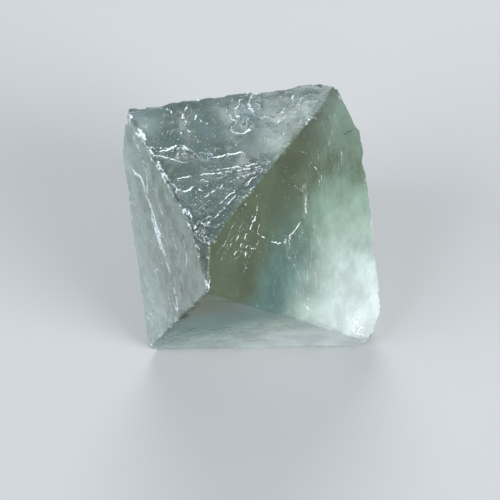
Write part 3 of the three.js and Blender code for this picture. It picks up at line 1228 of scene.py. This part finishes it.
    def _shift_beside_sides(self, points: np.ndarray, moved: np.ndarray) -> None:
        """Draws the points near each side along with it, so that no triangle folds over.

        Args:
            points: All points on the shell.
            moved: How far each moves; points inside facets get their part of the sides' moves.
        """
        single = [(k, owned[0][0]) for k, owned in enumerate(self.owners) if len(owned) == 1]
        for index, facet in enumerate(self.shell.facets):
            mine = np.array([k for k, owner in single if owner == index], int)
            if not len(mine):
                continue
            inside = facet.depth_inside(facet.flat(points[mine]))
            pull, weight = np.zeros((len(mine), 3)), np.zeros(len(mine))
            for side in range(len(facet.corners)):
                row = self._side(index, side)
                near = np.flatnonzero(inside[:, side] < self.SHIFT_REACH)
                if len(row) < 2 or not len(near):
                    continue
                start, run = points[row[0]], points[row[-1]] - points[row[0]]
                along = (points[mine[near]] - start) @ run / (run @ run) * (len(row) - 1)
                steps = np.stack([np.interp(along, np.arange(len(row)), moved[row][:, a]) for a in range(3)], -1)
                steps -= (steps @ facet.normal)[:, None] * facet.normal
                share = np.clip(1 - inside[near, side] / self.SHIFT_REACH, 0, 1)
                pull[near] += steps * (share**2)[:, None]
                weight[near] += share
            moved[mine] += pull / np.maximum(weight, 1)[:, None]


# ---- Finishes -------------------------------------------------------------------------------


class Nodes:
    """A short hand for building one material's node tree."""

    def __init__(self, name: str) -> None:
        """Makes an empty material.

        Args:
            name: The material's name.
        """
        self.material = bpy.data.materials.new(name)
        self.material.use_nodes = True
        self.tree = self.material.node_tree
        self.tree.nodes.clear()
        self.output = self.add("ShaderNodeOutputMaterial")

    def add(self, kind: str, **settings: str | bool) -> bpy.types.Node:
        """Adds a node.

        Args:
            kind: Its type.
            settings: Its properties.

        Returns:
            The node.
        """
        node = self.tree.nodes.new(kind)
        for name, value in settings.items():
            setattr(node, name, value)
        return node

    def join(self, source: Socket, target: Socket) -> None:
        """Links one socket to another."""
        self.tree.links.new(source, target)

    def feed(self, target: Socket, value: Input) -> None:
        """Links or sets a socket, whichever the value asks for.

        Args:
            target: The socket.
            value: Another socket, a number or a colour.
        """
        if isinstance(value, bpy.types.NodeSocket):
            self.join(value, target)
        elif isinstance(value, tuple) and len(value) == 3 and target.type == "RGBA":
            target.default_value = (*value, 1.0)
        else:
            target.default_value = value

    def math(self, operation: str, a: Input, b: Input, clamp: bool = False) -> Socket:
        """A math node.

        Args:
            operation: What it does.
            a: Its first number.
            b: Its second number.
            clamp: Whether the result is held from 0 to 1.

        Returns:
            The result.
        """
        node = self.add("ShaderNodeMath", operation=operation, use_clamp=clamp)
        self.feed(node.inputs[0], a)
        self.feed(node.inputs[1], b)
        return node.outputs[0]

    def plus(self, a: Input, b: Input) -> Socket:
        """The sum of two numbers."""
        return self.math("ADD", a, b)

    def minus(self, a: Input, b: Input) -> Socket:
        """The difference of two numbers."""
        return self.math("SUBTRACT", a, b)

    def times(self, a: Input, b: Input, clamp: bool = False) -> Socket:
        """The product of two numbers."""
        return self.math("MULTIPLY", a, b, clamp)

    def larger(self, a: Input, b: Input, clamp: bool = False) -> Socket:
        """The larger of two numbers."""
        return self.math("MAXIMUM", a, b, clamp)

    def attribute(self, name: str) -> Socket:
        """A number kept on the mesh."""
        return self.add("ShaderNodeAttribute", attribute_name=name).outputs["Fac"]

    def dot(self, a: Input, direction: np.ndarray) -> Socket:
        """The dot product of a vector and a fixed direction.

        Args:
            a: The vector.
            direction: The direction.

        Returns:
            The product.
        """
        node = self.add("ShaderNodeVectorMath", operation="DOT_PRODUCT")
        self.feed(node.inputs[0], a)
        node.inputs[1].default_value = tuple(direction)
        return node.outputs["Value"]

    def ramp(self, value: Input, stops: list[tuple[float, Triple]]) -> Socket:
        """A colour ramp.

        Args:
            value: Its factor.
            stops: Positions from 0 to 1, each with a colour.

        Returns:
            The colour.
        """
        node = self.add("ShaderNodeValToRGB")
        elements = node.color_ramp.elements
        while len(elements) > 1:
            elements.remove(elements[-1])
        for place, (position, colour) in enumerate(stops):
            element = elements[0] if place == 0 else elements.new(position)
            element.position = position
            element.color = (*colour, 1.0)
        self.feed(node.inputs[0], value)
        return node.outputs[0]

    def span(self, value: Input, low: float, high: float, to_low: float = 0.0, to_high: float = 1.0) -> Socket:
        """A value brought from one range to another and held within it.

        Args:
            value: The value.
            low: The first range's start.
            high: Its end.
            to_low: The second range's start.
            to_high: Its end.

        Returns:
            The new value.
        """
        node = self.add("ShaderNodeMapRange", clamp=True)
        self.feed(node.inputs[0], value)
        for place, number in enumerate((low, high, to_low, to_high), 1):
            node.inputs[place].default_value = number
        return node.outputs[0]

    def blend(self, share: Input, a: Input, b: Input, mode: str = "MIX") -> Socket:
        """One colour passing into another.

        Args:
            share: How much of the second there is.
            a: The first colour.
            b: The second colour.
            mode: How they mix.

        Returns:
            The mixed colour.
        """
        node = self.add("ShaderNodeMix", data_type="RGBA", blend_type=mode)
        for place, value in ((0, share), (6, a), (7, b)):
            self.feed(node.inputs[place], value)
        return node.outputs[2]

    def noise(self, place: Input, scale: float, detail: float = 2.0, rough: float = 0.5) -> Socket:
        """A noise texture.

        Args:
            place: Where it is read.
            scale: How many lumps there are in a millimetre.
            detail: How many finer layers it has.
            rough: How strong those are.

        Returns:
            Values from 0 to 1.
        """
        node = self.add("ShaderNodeTexNoise")
        self.feed(node.inputs["Vector"], place)
        for name, number in (("Scale", scale), ("Detail", detail), ("Roughness", rough)):
            node.inputs[name].default_value = number
        return node.outputs[0]


@dataclass(frozen=True)
class FluoriteFinish:
    """Clear pale green fluorite with growth zones, rubbed faces and white crushed edges; painted glow and shade
    in the zones, a painted sky reflection on the rubbed faces and painted glints on the white lines.

    Attributes:
        shaded_olive: The clear zone round the +z corner and along the top ridge, its dark tone partly painted
            shade of a dark ground seen through the crystal.
        green: The clear zone below it.
        teal: The same height toward the front.
        mint: Where the painted glow of light through the lower right corner begins.
        pale: Inside the edge of the painted glow.
        milk_glow: The thick part of the painted glow, given as milky cloud.
        chalk_glow: The painted glow at the right corner, given as milky cloud.
        lavender: The cloud at the front left corner.
        slate_sheen: The dull bloom of the upper face, coloured as a painted reflection of the bluish sky.
        pale_sheen: The paler bloom of the left face, coloured as a painted reflection of the bluish sky.
        white: Crushed crystal, also standing as painted glints on the step lines and edges.
        clearness: Transmission of the clear zones.
        cloud_and_glow_clearness: Transmission of the cloud and its painted glow.
        bloom_and_sheen_dulling: How much of the transmission the bloom and its painted sky reflection take.
        crushed_clearness: The share of the transmission that crushed crystal keeps.
        rubbed: Roughness of the faces.
        crushed_roughness: Roughness of crushed crystal.
        refraction: The index of refraction.
        absorb_colour: The colour that the body lets through.
        absorb_density: How strongly it absorbs.
        grain_strength: How strong the faces' fine grain is.
        grain_depth: How deep that grain is, in metres.
    """

    shaded_olive: Triple = (0.132, 0.160, 0.088)
    green: Triple = (0.170, 0.232, 0.150)
    teal: Triple = (0.155, 0.285, 0.255)
    mint: Triple = (0.34, 0.49, 0.38)
    pale: Triple = (0.43, 0.55, 0.47)
    slate_sheen: Triple = (0.125, 0.220, 0.248)
    pale_sheen: Triple = (0.52, 0.62, 0.56)
    milk_glow: Triple = (0.64, 0.74, 0.71)
    chalk_glow: Triple = (0.72, 0.80, 0.78)
    lavender: Triple = (0.62, 0.67, 0.72)
    white: Triple = (0.90, 0.94, 0.95)
    clearness: float = 0.62
    cloud_and_glow_clearness: float = 0.3
    bloom_and_sheen_dulling: float = 0.35
    crushed_clearness: float = 0.08
    rubbed: float = 0.26
    crushed_roughness: float = 0.6
    refraction: float = 1.434
    absorb_colour: Triple = (0.50, 0.74, 0.62)
    absorb_density: float = 75.0
    grain_strength: float = 0.25
    grain_depth: float = 0.00003

    # Depths into the growth zones, in millimetres.
    ZONES = (-12.0, 14.0)
    # Where the zones pale into a painted glow of light passing through the lower right corner.
    CLOUD_AND_GLOW = (-4.0, 8.0)
    FRONT = (2.0, 9.0)
    LAVENDER = (5.0, 15.0)
    LAVENDER_TOWARD = (-1.2, -1, -0.5)
    WAVE = 5.0
    # Where each zone's colour is, as a share of ZONES.
    REAR_STOPS = (0.0, 0.22, 0.36, 0.48, 0.62)
    FORE_STOPS = (0.0, 0.18, 0.30, 0.42, 0.58)
    # Where the painted glow's milk and chalk sit.
    CLOUD_AND_GLOW_STOPS = (0.82, 1.0)

    def material(self, shell: Shell) -> bpy.types.Material:
        """Builds the material.

        Args:
            shell: The crystal's shell, for its growth middle and axes.

        Returns:
            The material.
        """
        n = Nodes("fluorite")
        place = self._place(n, shell.middle)
        # The zones' pale end is a painted glow of light passing through the lower right corner.
        colour, cloud_and_glow = self._growth(n, place, shell.attitude)
        strength = n.span(n.noise(place, 0.9, 5.0, 0.62), 0.34, 0.66, 0.72, 1.25)
        # The bloom mixes in slate or pale grey-blue: the rubbed faces' dulling, and a painted reflection of the
        # bluish sky.
        bloom_and_sheen = n.times(n.attribute("bloom_and_sheen"), strength, clamp=True)
        colour = n.blend(bloom_and_sheen, colour, n.blend(n.attribute("paleness"), self.slate_sheen, self.pale_sheen))
        # The frost whitens the step lines and edges as crushed crystal and as painted glints.
        frost_and_glint = n.attribute("frost_and_glint")
        crushed_and_glint = self._crushed_and_glints(n, place, frost_and_glint)
        body = n.add("ShaderNodeBsdfPrincipled")
        n.feed(body.inputs["Base Color"], n.blend(crushed_and_glint, colour, self.white))
        worn = n.larger(crushed_and_glint, n.span(frost_and_glint, 0.0, 0.3))
        n.feed(body.inputs["Roughness"], n.span(worn, 0.0, 1.0, self.rubbed, self.crushed_roughness))
        clear = n.span(cloud_and_glow, 0.0, 1.0, self.clearness, self.cloud_and_glow_clearness)
        clear = n.minus(clear, n.times(bloom_and_sheen, self.bloom_and_sheen_dulling))
        kept = n.span(crushed_and_glint, 0.0, 0.8, 1.0, self.crushed_clearness)
        n.feed(body.inputs["Transmission Weight"], n.times(clear, kept))
        body.inputs["IOR"].default_value = self.refraction
        bump = n.add("ShaderNodeBump")
        bump.inputs["Strength"].default_value = self.grain_strength
        bump.inputs["Distance"].default_value = self.grain_depth
        n.feed(bump.inputs["Height"], n.noise(place, 3.5, 6.0, 0.65))
        n.feed(body.inputs["Normal"], bump.outputs[0])
        absorb = n.add("ShaderNodeVolumeAbsorption")
        absorb.inputs["Color"].default_value = (*self.absorb_colour, 1.0)
        absorb.inputs["Density"].default_value = self.absorb_density
        n.join(body.outputs[0], n.output.inputs["Surface"])
        n.join(absorb.outputs[0], n.output.inputs["Volume"])
        return n.material

    @staticmethod
    def _place(n: Nodes, middle: np.ndarray) -> Socket:
        """The place in the crystal, in millimetres from its growth middle.

        Args:
            n: The node tree.
            middle: The growth middle.

        Returns:
            The place, as a vector.
        """
        centred = n.add("ShaderNodeVectorMath", operation="SUBTRACT")
        n.feed(centred.inputs[0], n.add("ShaderNodeTexCoord").outputs["Object"])
        centred.inputs[1].default_value = tuple(middle * MM)
        scaled = n.add("ShaderNodeVectorMath", operation="SCALE")
        n.feed(scaled.inputs[0], centred.outputs[0])
        scaled.inputs["Scale"].default_value = 1 / MM
        return scaled.outputs[0]

    def _growth(self, n: Nodes, place: Socket, attitude: Attitude) -> tuple[Socket, Socket]:
        """The growth zones, which follow the crystal's cube faces, paling toward the lower right corner as a
        painted glow.

        Args:
            n: The node tree.
            place: The place in the crystal.
            attitude: How the crystal stands.

        Returns:
            The zones' colour with the painted glow, and how cloudy and glowing they are from 0 to 1.
        """
        x, y, z = (n.dot(place, attitude.direction(tuple(axis))) for axis in np.eye(3))
        wave = n.times(n.minus(n.noise(place, 0.30, 4.0, 0.6), 0.5), self.WAVE)
        below = n.minus(x, n.times(z, 0.75))
        aside = n.plus(n.times(n.minus(x, y), 0.6), 3.2)
        depth = n.math("MINIMUM", below, n.larger(aside, -2.0))
        depth = n.plus(depth, n.plus(wave, n.times(self._bands(n, x, y, z), 0.5)))
        zone = n.span(depth, *self.ZONES)
        # The painted glow's milk and chalk close both ramps.
        cloud_and_glow_colours = list(zip(self.CLOUD_AND_GLOW_STOPS, (self.milk_glow, self.chalk_glow)))
        # The dark olive at the start of each ramp is partly painted shade of a dark ground seen through the
        # crystal.
        rear = list(zip(self.REAR_STOPS, (self.shaded_olive, self.shaded_olive, self.green, self.mint, self.pale)))
        fore = list(zip(self.FORE_STOPS, (self.shaded_olive, self.shaded_olive, self.teal, self.teal, self.pale)))
        forward = n.span(n.plus(y, wave), *self.FRONT, 1.0, 0.0)
        colour = n.blend(forward, n.ramp(zone, rear + cloud_and_glow_colours), n.ramp(zone, fore + cloud_and_glow_colours))
        corner = n.dot(place, attitude.direction(self.LAVENDER_TOWARD))
        lavender = n.span(n.plus(corner, wave), *self.LAVENDER, 0.0, 0.8)
        # How deep into the painted glow a point is, with the lavender corner.
        cloud_and_glow = n.larger(n.span(depth, *self.CLOUD_AND_GLOW), n.times(lavender, 0.6))
        patches = n.span(n.noise(place, 0.34, 4.0, 0.6), 0.38, 0.62, 0.82, 1.1)
        return n.blend(1.0, n.blend(lavender, colour, self.lavender), patches, "MULTIPLY"), cloud_and_glow

    @staticmethod
    def _bands(n: Nodes, x: Socket, y: Socket, z: Socket) -> Socket:
        """Fine growth bands, level with the crystal's cube face.

        Args:
            n: The node tree.
            x: The place along the crystal's x axis.
            y: The place along its y axis.
            z: The place along its z axis.

        Returns:
            Values from about -1 to 1.
        """
        stretched = n.add("ShaderNodeCombineXYZ")
        n.feed(stretched.inputs[0], n.times(z, 2.6))
        n.feed(stretched.inputs[1], n.times(n.minus(x, y), 0.07))
        n.feed(stretched.inputs[2], n.times(n.plus(x, y), 0.25))
        return n.times(n.minus(n.noise(stretched.outputs[0], 1.0, 3.0, 0.6), 0.5), 3.0)

    def _crushed_and_glints(self, n: Nodes, place: Socket, frost_and_glint: Socket) -> Socket:
        """White crushed crystal, partly painted glints: crumbs where the mesh is frosted, and pits.

        Args:
            n: The node tree.
            place: The place in the crystal.
            frost_and_glint: The mesh's frost.

        Returns:
            How crushed the surface is, with its painted glints, from 0 to 1.
        """
        density = n.attribute("speckle")
        specks = n.larger(self._specks(n, place, density, 7.0), self._specks(n, place, density, 3.6, 0.25))
        grit = n.span(n.noise(place, 5.5, 2.0, 0.6), 0.32, 0.68)
        crumbs = n.span(n.minus(n.times(frost_and_glint, 1.2), grit), 0.0, 0.32)
        crumbs = n.times(crumbs, n.span(frost_and_glint, 0.1, 0.75, 0.4, 1.0))
        crumbs = n.larger(crumbs, n.span(frost_and_glint, 0.5, 1.0, 0.0, 0.65))
        return n.larger(crumbs, n.times(specks, 0.9), clamp=True)

    @staticmethod
    def _specks(n: Nodes, place: Socket, density: Socket, scale: float, share: float = 1.0) -> Socket:
        """White pits, one in some cells of a mesh of cells.

        Args:
            n: The node tree.
            place: The place in the crystal.
            density: How many cells have a pit, from 0 to 1.
            scale: How many cells there are in a millimetre.
            share: The share of that density to use.

        Returns:
            How white the pits are, 0 between them.
        """
        cells = n.add("ShaderNodeTexVoronoi", feature="F1")
        n.feed(cells.inputs["Vector"], place)
        cells.inputs["Scale"].default_value = scale
        near = n.span(cells.outputs["Distance"], 0.14, 0.30, 1.0, 0.0)
        pick = n.add("ShaderNodeSeparateColor")
        n.feed(pick.inputs[0], cells.outputs["Color"])
        chosen = n.math("LESS_THAN", pick.outputs[0], n.times(density, share))
        return n.times(near, n.times(chosen, n.span(pick.outputs[1], 0.0, 1.0, 0.4, 1.0)))


# ---- The pieces -----------------------------------------------------------------------------


def mesh_object(name: str, points: np.ndarray, faces: list[tuple[int, ...]]) -> bpy.types.Object:
    """A mesh object in the scene, from points in millimetres.

    Args:
        name: Its name.
        points: Its points.
        faces: Its faces.

    Returns:
        The object.
    """
    mesh = bpy.data.meshes.new(name)
    mesh.from_pydata((np.asarray(points) * MM).tolist(), [], faces)
    mesh.validate()
    made = bpy.data.objects.new(name, mesh)
    bpy.context.scene.collection.objects.link(made)
    return made


@dataclass(frozen=True)
class Spot:
    """A soft round zone on a face.

    Attributes:
        middle: Its middle as a flat point.
        radius: How far it reaches.
        share: How strong it is.
        paleness: How much paler the painted sky reflection of the bloom is there.
    """

    middle: Flat
    radius: float
    share: float
    paleness: float = 0.0

    def strength(self, flat: np.ndarray, tightness: float = 1.0) -> np.ndarray:
        """How much flat points are in the zone, from 0 to 1."""
        away = np.linalg.norm(flat - np.array(self.middle), axis=1)
        return np.exp(-((away / self.radius) ** 2) * tightness)


@dataclass
class Crystal:
    """The fluorite crystal's skin.

    Attributes:
        shell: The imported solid's shell.
        finish: Its material.
        sharp_degrees: The angle above which an edge between triangles looks sharp.
    """

    shell: Shell
    finish: FluoriteFinish = FluoriteFinish()
    sharp_degrees: float = 14.0

    # Fine pits: zones on a face, the least density on it, and the density on the other faces.
    PITS = {
        Face.UPPER: [
            Spot((0.4, 9.0), 3.4, 0.42),
            Spot((-3.4, 3.2), 2.2, 0.42),
            Spot((-2.6, -4.6), 2.2, 0.40),
            Spot((1.6, 1.0), 1.6, 0.40),
            Spot((5.0, 0.0), 1.4, 0.30),
            Spot((3.2, -4.0), 1.6, 0.25),
            Spot((-7.0, -4.0), 2.4, 0.28),
        ],
        Face.LEFT: [
            Spot((-2.0, 3.0), 4.0, 0.24),
            Spot((4.8, 3.6), 1.6, 0.36),
            Spot((-4.8, -0.8), 1.5, 0.6),
            Spot((-1.6, 1.2), 1.5, 0.5),
            Spot((1.6, 3.5), 1.3, 0.36),
        ],
        Face.RIGHT: [
            Spot((2.0, 9.5), 3.0, 0.10),
            Spot((6.0, 3.5), 3.0, 0.05),
            Spot((-11.2, -4.4), 2.0, 0.2),
        ],
    }
    PIT_FLOOR = {Face.UPPER: 0.08, Face.LEFT: 0.04, Face.RIGHT: 0.008, Face.FRONT: 0.006}
    HIDDEN_PITS = 0.05
    PIT_TIGHTNESS = 1.2
    # The rubbed bloom with its painted reflection of the sky: its share and paleness on a face, and zones where
    # it is stronger.
    BLOOM_AND_SHEEN = {
        Face.UPPER: (0.48, 0.0),
        Face.LEFT: (0.6, 1.0),
        Face.RIGHT: (0.02, 0.2),
        Face.FRONT: (0.0, 0.5),
    }
    HIDDEN_BLOOM_AND_SHEEN = (0.3, 0.5)
    BLOOM_AND_SHEEN_SPOTS = {
        Face.UPPER: [
            Spot((-8.0, -3.6), 3.0, 0.2, 0.6),
            Spot((-1.6, -4.0), 3.0, 0.25, 0.0),
            Spot((-5.6, 0.6), 2.0, 0.25, 0.7),
            Spot((8.4, -3.6), 1.5, 0.2, 0.45),
        ],
        Face.LEFT: [Spot((7.0, -3.0), 5.0, 0.3), Spot((-3.0, 0.8), 2.0, 0.15)],
        Face.FRONT: [Spot((-6.5, -5.0), 4.5, 0.35, 0.3)],
        Face.RIGHT: [Spot((12.0, -4.4), 3.6, 0.35, 0.1)],
    }

    def build(self) -> bpy.types.Object:
        """Makes the skin and dresses it.

        Returns:
            The object.
        """
        surface = FineSurface(self.shell)
        points, triangles, frost_and_glint = surface.build()
        made = mesh_object("fluorite_crystal_skin", points, triangles)
        # The bloom attribute carries a painted reflection of the sky as well as the rubbing.
        bloom_and_sheen, paleness = self._bloom_and_sheen(surface)
        # The frost attribute carries crushed crystal and painted glints.
        kept = {"frost_and_glint": frost_and_glint, "speckle": self._pits(surface), "bloom_and_sheen": bloom_and_sheen, "paleness": paleness}
        for name, values in kept.items():
            attribute = made.data.attributes.new(name, "FLOAT", "POINT")
            attribute.data.foreach_set("value", values.astype(np.float32))
        made.data.materials.append(self.finish.material(self.shell))
        made.data.polygons.foreach_set("use_smooth", [True] * len(made.data.polygons))
        made.data.set_sharp_from_angle(angle=math.radians(self.sharp_degrees))
        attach(made, BODY)
        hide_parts(NODE)
        return made

    def _pits(self, surface: FineSurface) -> np.ndarray:
        """How thickly pits lie at each point of the skin.

        Args:
            surface: The fine surface, with its points on the shell.

        Returns:
            A density from 0 to 1 for each point.
        """
        points = np.array(surface.points)
        density = np.zeros(len(points))
        for index, facet in enumerate(self.shell.facets):
            mine = surface.of_facet(index)
            flat = facet.flat(points[mine])
            value = np.full(len(mine), self.PIT_FLOOR.get(facet.face, self.HIDDEN_PITS))
            for spot in self.PITS.get(facet.face, []):
                value += spot.share * spot.strength(flat, self.PIT_TIGHTNESS)
            density[mine] = np.maximum(density[mine], value)
        patches = np.clip(rough_noise(points, 1.4, 2) * 0.9 + 0.8, 0.1, 1.8)
        return np.clip(density * patches, 0, 1)

    def _bloom_and_sheen(self, surface: FineSurface) -> tuple[np.ndarray, np.ndarray]:
        """How dull each point of the skin is rubbed, with a painted reflection of the sky, and how pale that is.

        Args:
            surface: The fine surface, with its points on the shell.

        Returns:
            The bloom's share and its paleness, each from 0 to 1 for each point.
        """
        points = np.array(surface.points)
        facets = self.shell.facets
        known = np.array([self.BLOOM_AND_SHEEN.get(facet.face, self.HIDDEN_BLOOM_AND_SHEEN) for facet in facets])
        both = np.array([known[[entry[0] for entry in owned] or [0]].mean(0) for owned in surface.owners])
        for index, facet in enumerate(facets):
            mine = surface.of_facet(index)
            for spot in self.BLOOM_AND_SHEEN_SPOTS.get(facet.face, []):
                near = spot.strength(facet.flat(points[mine]))
                both[mine] += near[:, None] * [spot.share, spot.paleness]
        patchy = 1 + 0.16 * rough_noise(points, 3.0, 3)
        return np.clip(both[:, 0] * patchy, 0, 1), np.clip(both[:, 1], 0, 1)


# ---- The studio -----------------------------------------------------------------------------


@dataclass(frozen=True)
class SoftLight:
    """One square soft light.

    Attributes:
        name: Its name.
        place: Where it hangs, in millimetres from the crystal's middle.
        watts: Its power.
        side: Its side length in millimetres.
        colour: Its colour.
    """

    name: str
    place: Triple
    watts: float
    side: float
    colour: Triple = (1.0, 1.0, 1.0)

    def hang(self, middle: np.ndarray) -> None:
        """Puts the light in the scene, turned to the crystal.

        Args:
            middle: The crystal's middle.
        """
        light = bpy.data.lights.new(self.name, "AREA")
        light.energy = self.watts
        light.size = self.side * MM
        light.color = self.colour
        made = bpy.data.objects.new(self.name, light)
        bpy.context.scene.collection.objects.link(made)
        made.location = Vector(middle + np.array(self.place)) * MM
        made.rotation_mode = "QUATERNION"
        made.rotation_quaternion = (-Vector(self.place)).to_track_quat("-Z", "Y")


@dataclass
class Studio:
    """The pale floor, the soft lights and the camera.

    Attributes:
        middle: The crystal's growth middle.
        camera_place: The camera, from that middle.
        elevation: How far the camera looks down, in degrees.
        roll: The camera's roll, in degrees.
        lens: Its focal length.
        sensor: Its sensor's width.
        floor_size: The floor's side length.
        floor_colour: The floor's colour.
        sky_colour: The colour of the light all round.
        sky_strength: Its strength.
        lights: The soft lights.
    """

    middle: np.ndarray
    camera_place: Triple = (-0.74, -78.67, 89.62)
    elevation: float = 49.87
    roll: float = -20.17
    lens: float = 79.2
    sensor: float = 36.0
    floor_size: float = 3000.0
    floor_colour: Triple = (0.48, 0.48, 0.475)
    sky_colour: Triple = (0.72, 0.83, 1.0)
    sky_strength: float = 0.45
    lights: tuple[SoftLight, ...] = (
        SoftLight("front_light", (330, -450, 205), 4.0, 260),
        SoftLight("back_light", (160, 380, 300), 1.5, 250),
        SoftLight("left_light", (-400, -60, 330), 1.75, 400, (0.9, 0.95, 1.0)),
    )

    def build(self) -> None:
        """Puts the floor, the lights and the camera in the scene."""
        self._floor()
        self._camera()
        self._sky()
        for light in self.lights:
            light.hang(self.middle)

    def _floor(self) -> None:
        """The plain pale floor."""
        corners = np.array([(-1, -1, 0), (1, -1, 0), (1, 1, 0), (-1, 1, 0)])
        floor = mesh_object("floor", corners * self.floor_size / 2, [(0, 1, 2, 3)])
        n = Nodes("floor")
        shader = n.add("ShaderNodeBsdfPrincipled")
        shader.inputs["Base Color"].default_value = (*self.floor_colour, 1.0)
        shader.inputs["Roughness"].default_value = 0.75
        n.join(shader.outputs[0], n.output.inputs["Surface"])
        floor.data.materials.append(n.material)

    def _camera(self) -> None:
        """The camera, at the height and roll of a hand held over the table."""
        camera = bpy.data.cameras.new("camera")
        camera.sensor_width = self.sensor
        camera.lens = self.lens
        camera.clip_start = 1 * MM
        made = bpy.data.objects.new("camera", camera)
        bpy.context.scene.collection.objects.link(made)
        down = math.radians(90 - self.elevation)
        tilt = Quaternion((1, 0, 0), down) @ Quaternion((0, 0, 1), math.radians(self.roll))
        place = Matrix.Translation(Vector(self.middle + np.array(self.camera_place)) * MM)
        made.matrix_world = place @ tilt.to_matrix().to_4x4()
        bpy.context.scene.camera = made

    def _sky(self) -> None:
        """An even sky for soft light all round."""
        world = bpy.data.worlds.new("sky")
        bpy.context.scene.world = world
        world.use_nodes = True
        background = world.node_tree.nodes["Background"]
        background.inputs["Color"].default_value = (*self.sky_colour, 1.0)
        background.inputs["Strength"].default_value = self.sky_strength
        bpy.context.scene.view_settings.view_transform = "Standard"


def main() -> None:
    """Builds the studio and the crystal."""
    logging.basicConfig(level=logging.INFO, format="%(message)s")
    shell = Shell(Attitude())
    Studio(shell.middle).build()
    skin = Crystal(shell).build()
    LOG.info("%s: %d triangles", skin.name, len(skin.data.polygons))


if __name__ == "__main__":
    main()
